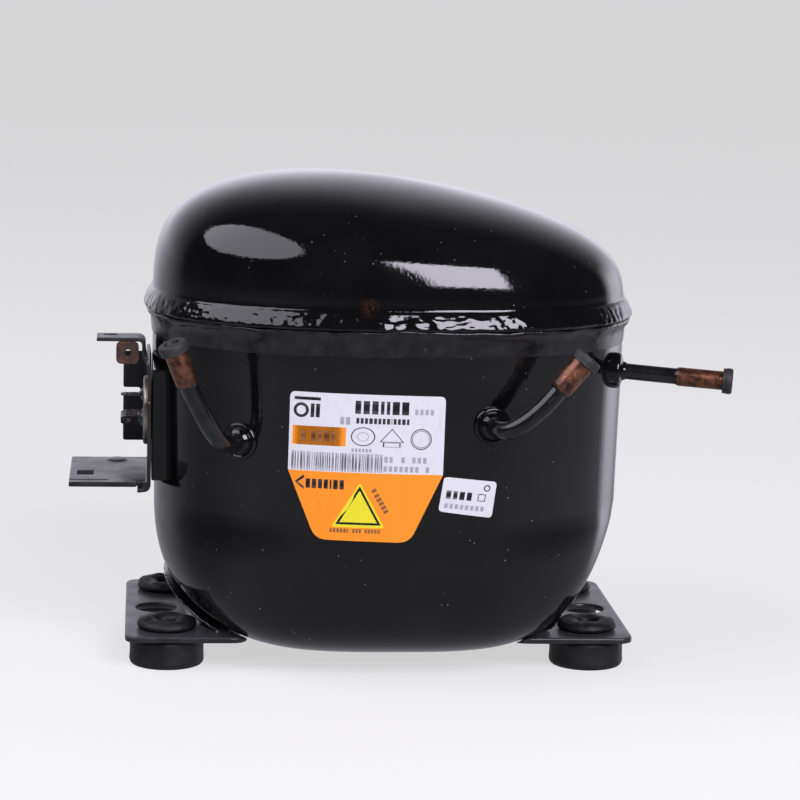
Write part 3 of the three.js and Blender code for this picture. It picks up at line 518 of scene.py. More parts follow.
class Signal:
    """A node's output in a shader tree, with arithmetic that adds further nodes."""

    def __init__(self, tree, socket):
        self.tree = tree
        self.socket = socket

    def __mul__(self, other):
        return maths(self.tree, "MULTIPLY", self, other)

    def __add__(self, other):
        return maths(self.tree, "ADD", self, other)

    def __abs__(self):
        return maths(self.tree, "ABSOLUTE", self)

    def remap(self, low, high, to_low=0.0, to_high=1.0):
        settings = {0: self, 1: low, 2: high, 3: to_low, 4: to_high}
        return Signal(self.tree, node(self.tree, "ShaderNodeMapRange", settings, clamp=True).outputs[0])

    def colours(self, a, b):
        """Goes from one colour at 0 to the other at 1."""
        mixed = node(self.tree, "ShaderNodeMix", {0: self, 6: a, 7: b}, data_type="RGBA")
        return Signal(self.tree, mixed.outputs[2])


def node(tree, kind, inputs=None, **settings):
    made = tree.nodes.new(kind)
    for key, value in settings.items():
        setattr(made, key, value)
    for key, value in (inputs or {}).items():
        if isinstance(value, Signal):
            tree.links.new(value.socket, made.inputs[key])
        else:
            made.inputs[key].default_value = value
    return made


def maths(tree, operation, a, b=0.0):
    return Signal(tree, node(tree, "ShaderNodeMath", {0: a, 1: b}, operation=operation).outputs[0])


class Finish:
    """A Principled material in the making, with its constants on the shader's own sockets."""

    def __init__(self, name, **constants):
        self.material = bpy.data.materials.new(name)
        self.material.use_nodes = True
        self.tree = self.material.node_tree
        self.shader = self.tree.nodes["Principled BSDF"]
        for key, value in constants.items():
            self.shader.inputs[key.replace("_", " ")].default_value = value
        self.place = self.made("ShaderNodeTexCoord", "Object")

    def made(self, kind, output=0, inputs=None, **settings):
        return Signal(self.tree, node(self.tree, kind, inputs, **settings).outputs[output])

    def grains(self, size, detail=3.0, stretch=(1, 1, 1)):
        """Noise from 0 to 1 with features of about that size in millimetres."""
        scaled = self.made("ShaderNodeMapping", 0, {"Vector": self.place, "Scale": stretch})
        settings = {"Vector": scaled, "Scale": 1 / (size * MM), "Detail": detail, "Roughness": 0.55}
        return self.made("ShaderNodeTexNoise", 0, settings)

    def cells(self, size):
        """Distance from scattered points about that far apart in millimetres."""
        return self.made("ShaderNodeTexVoronoi", "Distance", {"Vector": self.place, "Scale": 1 / (size * MM)})

    def near(self, point, reach):
        """1 at a point given in millimetres, falling to 0 at a distance."""
        ends = {0: self.place, 1: tuple(c * MM for c in point)}
        distance = self.made("ShaderNodeVectorMath", "Value", ends, operation="DISTANCE")
        return distance.remap(0.0, reach * MM, 1.0, 0.0)

    def height(self):
        return self.made("ShaderNodeSeparateXYZ", 2, {0: self.place})

    def facing_up(self, low, high):
        """0 to 1 as the surface turns from upright to level."""
        normal = self.made("ShaderNodeNewGeometry", "Normal")
        return self.made("ShaderNodeSeparateXYZ", 2, {0: normal}).remap(low, high)

    def done(self, height, strength, depth, **varied):
        """The material, with signals on the named sockets and bumps by a height from 0 to 1;
        the depth is in millimetres."""
        for key, signal in varied.items():
            self.tree.links.new(signal.socket, self.shader.inputs[key.replace("_", " ")])
        settings = {"Height": height, "Strength": strength, "Distance": depth * MM}
        self.tree.links.new(self.made("ShaderNodeBump", 0, settings).socket, self.shader.inputs["Normal"])
        return self.material


def grey(value, tint=(1.0, 1.0, 1.06)):
    return (value * tint[0], value * tint[1], value * tint[2], 1)


# ---- materials


def gloss_black(name, rust_spots=()):
    """Thick black enamel over a pressed shell: orange peel, dust and a few pinholes."""
    paint = Finish(name, IOR=1.42, Coat_Weight=0.25, Coat_Roughness=0.03)
    clouds = paint.grains(26, 4)
    dust = paint.cells(3.0).remap(0.10, 0.06) * paint.grains(7, 2).remap(0.54, 0.64)
    film = clouds.remap(0.35, 0.7).colours(grey(0.002), grey(0.0042))
    film = dust.colours(film, grey(0.16, (1, 0.97, 0.9)))
    for point, reach in rust_spots:
        spot = paint.near(point, reach) * paint.grains(1.1, 4).remap(0.4, 0.6)
        film = (spot * 0.35).colours(film, (0.12, 0.045, 0.02, 1))
    orange_peel = paint.grains(1.5, 2) * 0.8
    pits = paint.cells(2.3).remap(0.03, 0.08) * 0.25
    return paint.done(orange_peel + pits, 0.10, 0.5, Base_Color=film,
                      Roughness=clouds.remap(0.3, 0.75, 0.045, 0.09) + dust * 0.4)


def weld_paint(name):
    """The same enamel over a rough weld, chipped here and there."""
    paint = Finish(name, IOR=1.42, Coat_Weight=0.3, Coat_Roughness=0.04)
    patches = paint.grains(5, 4)
    film = patches.remap(0.4, 0.7).colours(grey(0.004), grey(0.012))
    chip = paint.grains(1.3, 3).remap(0.68, 0.74) * paint.grains(14, 2).remap(0.5, 0.62)
    return paint.done(paint.grains(1.0, 4), 0.4, 0.5, Base_Color=chip.colours(film, (0.10, 0.055, 0.035, 1)),
                      Roughness=patches.remap(0.3, 0.7, 0.10, 0.26))


def satin_paint(name, wet_above=None):
    """Black dip paint on sheet steel: satin, dusty on level faces and lighter there with a painted lilac
    sheen, worn to metal in small chips.
    Above a height in millimetres, if given, the paint is thick and wet over a weld."""
    paint = Finish(name, IOR=1.5, Coat_Weight=0.1, Coat_Roughness=0.2)
    clouds = paint.grains(11, 5)
    fine = paint.grains(0.8, 3)
    level = paint.facing_up(0.6, 0.95)
    film = clouds.remap(0.3, 0.7).colours(grey(0.007), grey(0.02))
    # level faces mix to a lighter lilac grey: partly dust, partly a painted sheen standing in for the bright
    # grazing reflection on the tops
    film = (level * fine.remap(0.35, 0.7, 0.1, 0.5)).colours(film, grey(0.12, (1.0, 0.98, 1.12)))
    film = (paint.cells(2.6).remap(0.12, 0.07) * level).colours(film, grey(0.015))
    chip = paint.cells(2.2).remap(0.11, 0.08) * paint.grains(6, 2).remap(0.6, 0.66)
    film = chip.colours(film, grey(0.55))
    polish = clouds.remap(0.3, 0.7, 0.28, 0.45)
    if wet_above is not None:
        wet = (paint.height() + clouds * (2 * MM)).remap(wet_above * MM, (wet_above + 2) * MM)
        film = wet.colours(film, grey(0.003))
        polish = polish + wet * -0.2
    return paint.done(fine + clouds * 1.5, 0.25, 0.35, Base_Color=film, Roughness=polish)


def rubber(name, value, gloss):
    """Moulded rubber with a bloom, fine grain and a little grit."""
    skin = Finish(name, IOR=1.45)
    bloom = skin.grains(7, 5)
    base = bloom.remap(0.35, 0.7).colours(grey(value * 0.7), grey(value * 1.5))
    grit = skin.cells(1.7).remap(0.10, 0.06) * bloom.remap(0.55, 0.65)
    return skin.done(skin.grains(0.5, 3), 0.3, 0.15, Base_Color=grit.colours(base, grey(value * 5)),
                     Roughness=bloom.remap(0.3, 0.7, gloss, gloss + 0.22))


def painted_copper(name, bare_from):
    """Copper tube painted black up to a share of its length, with a ragged end to the paint."""
    skin = Finish(name, IOR=1.45, Coat_Weight=0.2, Coat_Roughness=0.1)
    along = skin.made("ShaderNodeAttribute", "Fac", attribute_name="along")
    ragged = along + (skin.grains(3, 5) + -0.5) * 0.045
    bare = ragged.remap(bare_from - 0.004, bare_from + 0.004)
    blotch = skin.grains(3.2, 6)
    fine = skin.grains(0.7, 4)
    copper = blotch.remap(0.36, 0.62).colours((0.040, 0.022, 0.018, 1), (0.21, 0.082, 0.042, 1))
    copper = (skin.grains(2.1, 4).remap(0.60, 0.72) * 0.8).colours(copper, (0.44, 0.13, 0.035, 1))
    scorch = along.remap(bare_from + 0.045, bare_from + 0.02) * fine.remap(0.4, 0.6, 0.4, 1)
    ring = scorch * along.remap(bare_from + 0.005, bare_from + 0.03)
    copper = ring.colours(copper, (0.03, 0.02, 0.018, 1))
    film = skin.grains(8, 3).remap(0.35, 0.7).colours(grey(0.004), grey(0.010))
    return skin.done(bare * -0.8 + fine * 0.4, 0.4, 0.25, Base_Color=bare.colours(film, copper),
                     Metallic=bare * 0.75, Roughness=blotch.remap(0.3, 0.7, 0.10, 0.22) + bare * 0.2)


def worn_metal(name, clean, dull, roughness, grain, metallic=1.0, relief=0.2, stain=None):
    """Bare metal whose colour and polish vary, with an optional stain in patches."""
    metal = Finish(name, Metallic=metallic)
    clouds = metal.grains(grain * 8, 5)
    fine = metal.grains(grain, 3)
    base = clouds.remap(0.35, 0.68).colours((*dull, 1), (*clean, 1))
    if stain:
        base = (metal.grains(grain * 5, 5).remap(0.52, 0.66) * 0.85).colours(base, (*stain, 1))
    return metal.done(fine, relief, 0.2, Base_Color=base,
                      Roughness=(fine + clouds).remap(0.7, 1.3, *roughness))


def laminations(name):
    """A stack of half-millimetre sheets on edge."""
    stack = Finish(name, Metallic=0.9)
    edge = maths(stack.tree, "PINGPONG", stack.height() * (1 / (0.5 * MM)), 0.5)
    clouds = stack.grains(9, 5)
    sheets = edge.remap(0.05, 0.3).colours((0.035, 0.035, 0.045, 1), (0.26, 0.27, 0.30, 1))
    sheets = clouds.remap(0.5, 0.72, 0, 0.6).colours(sheets, (0.10, 0.07, 0.05, 1))
    return stack.done(edge, 0.5, 0.15, Base_Color=sheets, Roughness=clouds.remap(0.3, 0.7, 0.35, 0.6))


def enamelled_wire(name):
    """Strands of enamelled copper wound round a ring."""
    wire = Finish(name, Metallic=0.6, Coat_Weight=0.5, Coat_Roughness=0.15)
    strands = wire.grains(0.9, 2, (0.25, 0.25, 1.6))
    copper = strands.remap(0.35, 0.65).colours((0.10, 0.03, 0.012, 1), (0.52, 0.19, 0.06, 1))
    return wire.done(strands, 0.8, 0.5, Base_Color=copper,
                     Roughness=wire.grains(12, 4).remap(0.3, 0.7, 0.22, 0.4))


def printed(name, tint, worn):
    """Gloss label stock or ink, with faint scuffs."""
    stock = Finish(name, IOR=1.45, Coat_Weight=0.15, Coat_Roughness=0.12)
    scuff = stock.grains(2.4, 6, (1, 1, 0.5)).remap(0.52, 0.75, 0, 0.6)
    return stock.done(stock.grains(1.4, 2), 0.05, 0.1, Base_Color=scuff.colours((*tint, 1), (*worn, 1)),
                      Roughness=stock.grains(6, 3).remap(0.3, 0.7, 0.3, 0.42))


def moulded(name, light, dark):
    """Glass-filled plastic with flow marks."""
    plastic = Finish(name, IOR=1.5)
    flow = plastic.grains(10, 5, (1, 0.3, 1))
    return plastic.done(plastic.grains(0.8, 3), 0.3, 0.15, Roughness=flow.remap(0.3, 0.7, 0.42, 0.6),
                        Base_Color=flow.remap(0.35, 0.7).colours((*dark, 1), (*light, 1)))


def floor_material():
    floor = Finish("studio_floor", Roughness=0.9, Emission_Strength=0.6, Emission_Color=(1, 1, 1, 1))
    mottled = floor.grains(900, 2).colours((0.28, 0.28, 0.28, 1), (0.30, 0.30, 0.30, 1))
    floor.tree.links.new(mottled.socket, floor.shader.inputs["Base Color"])
    return floor.material


RUST_SPOT = ((-9.4, -79.0, 150.2), 4.5)
BLACK = gloss_black("black_enamel")
COVER = gloss_black("cover_enamel", rust_spots=[RUST_SPOT])
WELD = weld_paint("weld_enamel")
SATIN = satin_paint("satin_paint")
PLATE = satin_paint("plate_paint", PLATE_TOP + 1.4)
FOOT_RUBBER = rubber("foot_rubber", 0.0055, 0.45)
PLUG_RUBBER = rubber("plug_rubber", 0.019, 0.42)
GLASS = worn_metal("seal_glass", (0.02, 0.05, 0.06), (0.01, 0.02, 0.03), (0.08, 0.2), 0.6, 0.0)
HEADER = worn_metal("header_plate", (0.52, 0.47, 0.38), (0.22, 0.19, 0.16), (0.3, 0.5), 0.6, 0.8,
                    stain=(0.10, 0.05, 0.03))
PIN = worn_metal("pin_steel", (0.30, 0.28, 0.27), (0.12, 0.11, 0.11), (0.3, 0.5), 0.4)
RUSTY = worn_metal("rusty_steel", (0.085, 0.042, 0.032), (0.028, 0.017, 0.015), (0.6, 0.85), 0.5, 0.25, 0.7,
                   stain=(0.14, 0.048, 0.02))
WHITE_STOCK = printed("label_white", (0.60, 0.60, 0.63), (0.50, 0.50, 0.53))
ORANGE_STOCK = printed("label_orange", (0.84, 0.25, 0.006), (0.72, 0.20, 0.005))
YELLOW_INK = printed("label_yellow", (0.70, 0.62, 0.012), (0.60, 0.50, 0.012))
BLACK_INK = printed("label_black", (0.02, 0.02, 0.025), (0.06, 0.06, 0.07))
GREY_INK = printed("label_grey", (0.30, 0.30, 0.36), (0.42, 0.42, 0.48))
BROWN_INK = printed("label_brown", (0.22, 0.09, 0.03), (0.32, 0.13, 0.03))
SPRING_STEEL = worn_metal("spring_steel", (0.42, 0.43, 0.45), (0.20, 0.21, 0.23), (0.2, 0.35), 0.5)
LINE_COPPER = worn_metal("line_copper", (0.62, 0.27, 0.15), (0.28, 0.11, 0.07), (0.22, 0.42), 0.8,
                         stain=(0.12, 0.05, 0.035))

INTERNAL_FINISHES = {
    "lamination_steel": laminations("lamination_stack"),
    "winding_copper": enamelled_wire("enamelled_wire"),
    "zinc_steel": worn_metal("zinc_steel", (0.56, 0.56, 0.55), (0.34, 0.35, 0.37), (0.25, 0.42), 0.5,
                             stain=(0.45, 0.40, 0.24)),
    "spring_steel": SPRING_STEEL,
    "grey_iron": worn_metal("grey_iron", (0.21, 0.21, 0.22), (0.09, 0.09, 0.10), (0.4, 0.65), 0.7, 0.85, 0.6),
    "cast_aluminium": worn_metal("cast_aluminium", (0.60, 0.61, 0.62), (0.40, 0.41, 0.42), (0.35, 0.6), 0.6,
                                 relief=0.5),
    "black_oxide": worn_metal("black_oxide", (0.05, 0.05, 0.055), (0.025, 0.025, 0.03), (0.3, 0.5), 0.4),
    "muffler_plastic": moulded("muffler_plastic", (0.70, 0.64, 0.50), (0.55, 0.49, 0.36)),
}

# ---- the welded shell


def add_lower_shell():
    angles = np.linspace(0, 2 * math.pi, 288, endpoint=False)
    heights = np.linspace(WALL_FOOT_Z, RIM_Z, 34)
    outside = [belly_ring(angles, share, 0) for share in belly_shares(60)]
    outside += [wall_ring(angles, z, 0) for z in heights]
    inside = [wall_ring(angles, z, -SHEET) for z in heights[::-3]]
    inside += [belly_ring(angles, share, -SHEET) for share in belly_shares(24)[::-1]]
    count = len(outside) * len(angles)
    points, faces = loft(outside + inside)
    pressed = roughened(points[:count], outward(points[:count]), LOWER_WAVES)
    points = np.concatenate([pressed, points[count:]])
    stand_for(mesh_object("shell_lower_half", points, faces, BLACK), "lower_shell")


def add_upper_shell():
    angles = np.linspace(0, 2 * math.pi, 720, endpoint=False)
    dome = [dome_ring(angles, turn, 0, skirt=True) for turn in dome_turns()[::-1]]
    lip = [wall_ring(angles, LIP_Z, offset) for offset in (2.8, 0.5)]
    inside = [dome_ring(angles, turn, -SHEET) for turn in dome_turns()[8::6]]
    count = (len(dome) + 1) * len(angles)
    points, faces = loft(dome + lip + [wall_ring(angles, RIM_Z + 0.5, 0.4)] + inside)
    outer = points[:count]
    directions = outward(outer)
    pressed = roughened(outer, directions, COVER_WAVES)
    beaten = roughened(pressed, directions, SKIRT_WAVES)
    share = np.clip((SKIRT_TOP_Z - outer[:, 2]) / 4, 0, 1)[:, None]
    points = np.concatenate([pressed + (beaten - pressed) * share, points[count:]])
    stand_for(mesh_object("shell_cover", points, faces, COVER), "upper_shell")


def add_seam_weld():
    """The fillet weld under the cover's lip: an uneven bead with shallow ripples."""
    angles = np.linspace(0, 2 * math.pi, 1100, endpoint=False)
    outline = soften([(BEAD_TOP_Z, 0.2), (BEAD_TOP_Z, 3.0), (139.6, 2.9), (138.0, 1.5), (136.2, 0.9),
                      (BEAD_BOTTOM_Z, 0.45), (BEAD_BOTTOM_Z, 0.2)], 0.9, 5)
    rings = np.array([wall_ring(angles, z, offset) for z, offset in outline])
    middle = wall_ring(angles, BEAD_TOP_Z, 0)
    travelled = np.cumsum(np.linalg.norm(middle - np.roll(middle, 1, axis=0), axis=1))
    direction = middle - np.array([SHELL_X, 0, BEAD_TOP_Z])
    direction = direction / np.linalg.norm(direction, axis=1)[:, None]
    for row, (z, offset) in enumerate(outline):
        depth = np.clip(offset / 2.0, 0, 1)
        for i, distance in enumerate(travelled):
            spot = Vector(rings[row, i])
            swell = 0.55 * noise.noise(spot / 15) + 0.3 * noise.noise(spot / 5 + Vector((7, 0, 0)))
            crescent = abs(math.sin(math.pi * (distance + 0.3 * (BEAD_TOP_Z - z)) / RIPPLE_PITCH))
            ripple = 0.22 * crescent * max(0.0, noise.noise(spot / 21 + Vector((0, 5, 0))))
            rings[row, i] += depth * (swell + ripple - 0.2) * direction[i]
            rings[row, i, 2] += depth * 0.7 * noise.noise(spot / 9 + Vector((0, 0, 11))) * (z < BEAD_TOP_Z)
    bead = mesh_object("seam_weld_bead", *loft(rings, loops=True), WELD, sharp=70)
    stand_for(bead, "seam_weld")


# ---- feet


def add_foot_plate(side, sign):
    """Pressed plate with a flange that climbs the shell, welded on."""
    across = sorted([sign * PLATE_INNER_X, sign * PLATE_OUTER_X])
    flat = prism(rectangle(*across, -PLATE_HALF_Y, PLATE_HALF_Y, 6.5), PLATE_TOP - PLATE_THICK, PLATE_TOP)
    name = f"foot_plate_{side}_pressing"
    layers = [flange(name, sign, PLATE_THICK, FLANGE_TOP)]
    # the bend between plate and flange
    layers += [flange(name, sign, PLATE_THICK + extra, PLATE_TOP + rise) for extra, rise in BEND]
    spots = [(STUD_X, -STUD_Y, GROMMET_NECK_R + GAP), (STUD_X, STUD_Y, GROMMET_NECK_R + GAP),
             (PLATE_HOLE_X, 0, PLATE_HOLE_R)]
    holes = [round_bar((sign * x, y, 0), (sign * x, y, 20), radius) for x, y, radius in spots]
    removed = [shell_body(GAP, 60), *holes]
    plate = fused(name, [flat, *layers], removed, PLATE, 0.5, 8)
    stand_for(plate, f"foot_plate_{side}")


def flange(name, sign, thick, top):
    """The part of a layer over the shell that a flange of that height covers."""
    rise = top - PLATE_TOP
    arch = [(-FLANGE_HALF_Y, PLATE_TOP - 1.5)]
    for y in np.linspace(-1, 1, 33):
        height = (1 - abs(y) ** FLANGE_ARCH_POWER) ** FLANGE_ARCH_EASE
        arch.append((FLANGE_HALF_Y * y, PLATE_TOP - 1 + (rise + 1) * height))
    arch.append((FLANGE_HALF_Y, PLATE_TOP - 1.5))
    across = sorted([sign * PLATE_INNER_X, sign * 112])
    window = mesh_object(f"{name}_window", *prism(arch, *across, "yzx"), SATIN)
    layer = mesh_object(f"{name}_layer", *shell_body(GAP + thick, 45), SATIN)
    combine(window, layer, "INTERSECT")
    mesh = baked(window)
    points = [tuple(v.co / MM) for v in mesh.vertices]
    faces = [tuple(face.vertices) for face in mesh.polygons]
    bpy.data.objects.remove(window)
    bpy.data.objects.remove(layer)
    return points, faces


def add_grommet(name, x, y):
    """Rubber foot: a thick disc under the plate, a neck through it and a squashed lip above it."""
    points, faces = lathe(soften(GROMMET_BOTTOM + GROMMET_LIP, 0.5, 6), (x, y, 0), sides=96)
    for i, point in enumerate(np.array(points)):
        spot = Vector(point)
        share = min(1.0, max(0.0, (point[2] - PLATE_TOP - 0.5) / 3))
        sideways = np.array(Vector((point[0] - x, point[1] - y, 0)).normalized())
        swell = 0.9 * noise.noise(spot / 7) * share + 0.12 * noise.noise(spot / 1.7)
        lift = 0.9 * noise.noise(spot / 9 + Vector((3, 0, 0))) + 0.25 * noise.noise(spot / 2.2)
        points[i] += sideways * swell
        points[i, 2] += lift * share
    obj = mesh_object(f"{name}_rubber", points, faces, FOOT_RUBBER, sharp=50)
    stand_for(obj, name)


# ---- tubes


def add_tube(name, tube):
    points, tangents = route_points(tube["route"], 150)
    shares = np.linspace(0, 1, len(points))
    swage = np.clip((shares - tube["bare_from"] + 0.02) / 0.035, 0, 1)
    swage = swage * swage * (3 - 2 * swage)
    outside = tube["painted"] + (tube["bare"] - tube["painted"]) * swage
    inside = np.maximum(outside - TUBE_WALL, tube["bore"])
    sides = 48
    rings = tube_rings(points, tangents, outside, sides) + tube_rings(points, tangents, inside, sides)[::-1]
    along = np.repeat(np.concatenate([shares, shares[::-1]]), sides)
    mesh_points, faces = loft(rings, loops=True)
    paint = painted_copper(f"{name}_tube_finish", tube["bare_from"])
    obj = mesh_object(f"{name}_tube_bent", mesh_points, faces, paint, along=along)
    stand_for(obj, f"{name}_tube")

    mouth = tube["bare"]
    plug_r = mouth + PLUG_WALL
    profile = [(0.0, 0.5, 0.1), (mouth - 1.7, 0.5, 0.4), (mouth - 1.3, 1.9, 0.3), (plug_r - 0.5, 1.9, 0.4),
               (plug_r, 1.2, 0.4), (plug_r, -0.3, 0.5), (plug_r - 0.25, -1.4, 0.3), (plug_r - 0.1, -2.0, 0.3),
               (mouth + GAP, -2.0, 0.1), (mouth + GAP, 0.2, 0.1), (0.0, 0.2, 0.1)]
    cap = lathe(soften(profile, 0.3, 4, closed=False), points[-1], tangents[-1], 72)
    plug = mesh_object(f"{name}_plug_moulding", *cap, PLUG_RUBBER, sharp=50)
    stand_for(plug, f"{name}_plug")


def add_collar(name, tube):
    """The pressed and brazed seat of a tube: an outer ring, a groove and a raised neck."""
    seat = Vector(tube["route"][1])
    out = seat - Vector(tube["route"][0])
    bore = tube["painted"] - 0.1
    if name == "discharge":
        face = [(COLLAR_R - 0.3, 2.6, 1.0), (COLLAR_R - 2.0, 3.2, 1.6), (bore + 0.9, 3.4, 1.2),
                (bore + 0.1, 5.6, 1.0)]
    else:
        face = [(COLLAR_R, 0.6, 0.8), (COLLAR_R - 0.9, 1.5, 0.9), (COLLAR_R - 2.3, 0.8, 0.9),
                (bore + 1.6, 2.0, 1.0), (bore + 0.1, 3.3, 0.8)]
    profile = soften([(bore, -4), (COLLAR_R, -4), *face, (bore, 3.0, 0.1)], 0.4, 6)
    points, faces = lathe(profile, seat, out, 96)
    collar = mesh_object(f"{name}_collar_braze", points, faces, BLACK, sharp=50)
    stand_for(collar, f"{name}_collar")


# ---- terminals


def bent_strip(path, y0, y1, thick, bend):
    """A strip of sheet along a path of X and Z with round bends, from y0 to y1."""
    line = np.array(soften(path, bend, 8, closed=False))
    slopes = np.gradient(line, axis=0)
    slopes = slopes / np.linalg.norm(slopes, axis=1)[:, None]
    normals = np.stack([-slopes[:, 1], slopes[:, 0]], 1)
    outline = np.concatenate([line + normals * thick / 2, (line - normals * thick / 2)[::-1]])
    return prism(outline.tolist(), y0, y1, "xzy")


def add_bracket():
    face = BRACKET_X - BRACKET_SHEET / 2
    neck_x = face - NECK_OUT
    tab_z = UPPER_TAB_TOP - BRACKET_SHEET / 2
    shelf_z = LOWER_TAB_TOP - LOWER_TAB_THICK / 2
    upper_path = [(UPPER_TAB_END, tab_z), (neck_x, tab_z), (neck_x, NECK_BOTTOM), (face, NECK_FOOT),
                  (face, 105)]
    upper = bent_strip(upper_path, UPPER_TAB_FRONT, UPPER_TAB_BACK, BRACKET_SHEET, 2.4)
    base_path = [(face - 0.6, 121.3), (face, FACE_TOP), (face, FACE_BOTTOM), (face - 4.6, 70.2)]
    base = bent_strip(base_path, BRACKET_FRONT, BRACKET_BACK, BRACKET_SHEET, 3.2)
    shelf = bent_strip([(LOWER_TAB_END, shelf_z), (face, shelf_z)], BRACKET_FRONT, BRACKET_BACK,
                       LOWER_TAB_THICK, 1)
    slot_low, slot_high = WING_SLOT
    wing_outline = [(face, WING_BOTTOM), (WING_X, WING_BOTTOM), (WING_X, slot_low), (WING_X + 7, slot_low),
                    (WING_X + 7, slot_high), (WING_X, slot_high), (WING_X, BLOCK_TOP), (face, BLOCK_TOP)]
    wing = prism(soften(wing_outline, 0.8, 3), BRACKET_BACK - BRACKET_SHEET, BRACKET_BACK, "xzy")
    turns = np.linspace(0, 2 * math.pi, 24, endpoint=False)
    boss_rings = []
    for size, lift in ((1, 0), (0.92, 0.9), (0.7, 1.3), (0.35, 1.45)):
        x, y = BOSS[0] + 4.6 * size * np.cos(turns), BOSS[1] + 5.4 * size * np.sin(turns)
        boss_rings.append(np.stack([x, y, np.full(turns.shape, LOWER_TAB_TOP - 0.6 + lift)], 1))
    header_hole = round_bar((-100, HEADER_Y, HEADER_Z), (-85, HEADER_Y, HEADER_Z), HEADER_R + 0.5)
    upper_slot = prism(rectangle(*UPPER_SLOT, 0.7), 120, 135)
    lower_slot = prism(rectangle(*LOWER_SLOT, 0.8), 65, 80)
    slit = prism(rectangle(*LOWER_SLIT, 0.3), 65, 80)
    relief = prism(rectangle(*CORNER_RELIEF, 0.5), 70.5, 80)
    nose = box((-97.6, -95), (BRACKET_FRONT - 1, BRACKET_FRONT + 2.5), (71, 80))
    bracket = fused("terminal_bracket_pressing", [base, upper, shelf, wing, loft(boss_rings)],
                    [header_hole, upper_slot, lower_slot, slit, relief, nose], SATIN, 0.38, 4)
    stand_for(bracket, "terminal_bracket")

    # a black enamel pad between the bracket and the shell: a mounting pad, and also a dark block put where
    # the gap behind the bracket shows only shade
    block = box((BRACKET_X + 0.15, -80), (BRACKET_FRONT + 3, BRACKET_BACK - 2), (74, BLOCK_TOP))
    neck = round_bar((-100, HEADER_Y, HEADER_Z), (-70, HEADER_Y, HEADER_Z), HEADER_NECK_R + 0.3)
    pad = fused("terminal_pad_and_shade_filler", [block], [shell_body(-0.6, 130), neck], BLACK, 0.4, 3)
    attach(pad, "shell")

    blank = rectangle(*EARTH_TAB_X, EARTH_TAB_BOTTOM, tab_z - 0.6, 2.4)
    tab = prism(blank, *EARTH_TAB_Y, "xzy")
    x, z = EARTH_HOLE
    hole = round_bar((x, -25, z), (x, -15, z), 1.4, 24)
    earth = fused("earth_tab_blade", [tab], [hole], RUSTY, 0.22, 2)
    stand_for(earth, "earth_tab")


def add_header():
    hub = (BRACKET_X, HEADER_Y, HEADER_Z)
    dish = [(0, 2.5), (7.5, 2.5, 1.0), (9.6, 1.5, 1.2), (11.2, 2.1, 0.8), (HEADER_R - 0.9, 3.4, 1.0)]
    rim = [(HEADER_R, 2.6, 0.6), (HEADER_R, -0.1), (HEADER_NECK_R, -0.1), (HEADER_NECK_R, -6, 0.8), (0, -6)]
    profile = soften(dish + rim, 0.5, 5, closed=False)
    cup = mesh_object("terminal_header_cup", *lathe(profile, hub, (-1, 0, 0), 96), HEADER, sharp=50)
    bead = [(0, 4.4), (1.5, 4.3, 0.5), (2.9, 3.4, 0.9), (3.2, 2.3, 0.2), (0, 2.2)]
    bead = soften(bead, 0.4, 5, closed=False)
    for i, degrees in enumerate((90, 210, 330)):
        angle = math.radians(degrees)
        y = HEADER_Y + PIN_CIRCLE_R * math.cos(angle)
        z = HEADER_Z + PIN_CIRCLE_R * math.sin(angle)
        seal = mesh_object(f"terminal_seal_{i + 1}", *lathe(bead, (BRACKET_X, y, z), (-1, 0, 0), 40), GLASS)
        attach(seal, "shell")
        stand_for(pin_blade(i + 1, angle, y, z), f"terminal_pin_{i + 1}")
    stand_for(cup, "terminal_header")


def pin_blade(number, angle, y, z):
    """A flat push-on blade with a pointed end and a detent hole, on a round pin through the header."""
    flat = prism(soften(PIN_BLADE, 0.3, 2), -PIN_HALF_THICK, PIN_HALF_THICK)
    pit = round_bar((PIN_DETENT_X, 0, -2), (PIN_DETENT_X, 0, 2), PIN_DETENT_R, 16)
    turn = Matrix.Translation((0, y, z)) @ Matrix.Rotation(angle - math.pi / 2, 4, "X")
    blade, detent = ((placed(points, turn), faces) for points, faces in (flat, pit))
    stem = round_bar((-97.0, y, z), (-80, y, z), PIN_STEM_R, 24)
    return fused(f"terminal_blade_{number}", [blade, stem], [detent], PIN, 0.2, 1)


# ---- labels


def on_label(across, down):
    """X and Z of a place on the rating label, from its top left corner."""
    x = LABEL_CORNER[0] + across * math.cos(LABEL_TILT) - down * math.sin(LABEL_TILT)
    return x, LABEL_CORNER[1] - across * math.sin(LABEL_TILT) - down * math.cos(LABEL_TILT)


def on_small_label(across, down):
    """The same for the small label, which leans further."""
    x = SMALL_LABEL_CORNER[0] + across * math.cos(SMALL_LABEL_TILT) - down * math.sin(SMALL_LABEL_LEAN)
    return x, SMALL_LABEL_CORNER[1] - across * math.sin(SMALL_LABEL_TILT) - down * math.cos(SMALL_LABEL_LEAN)


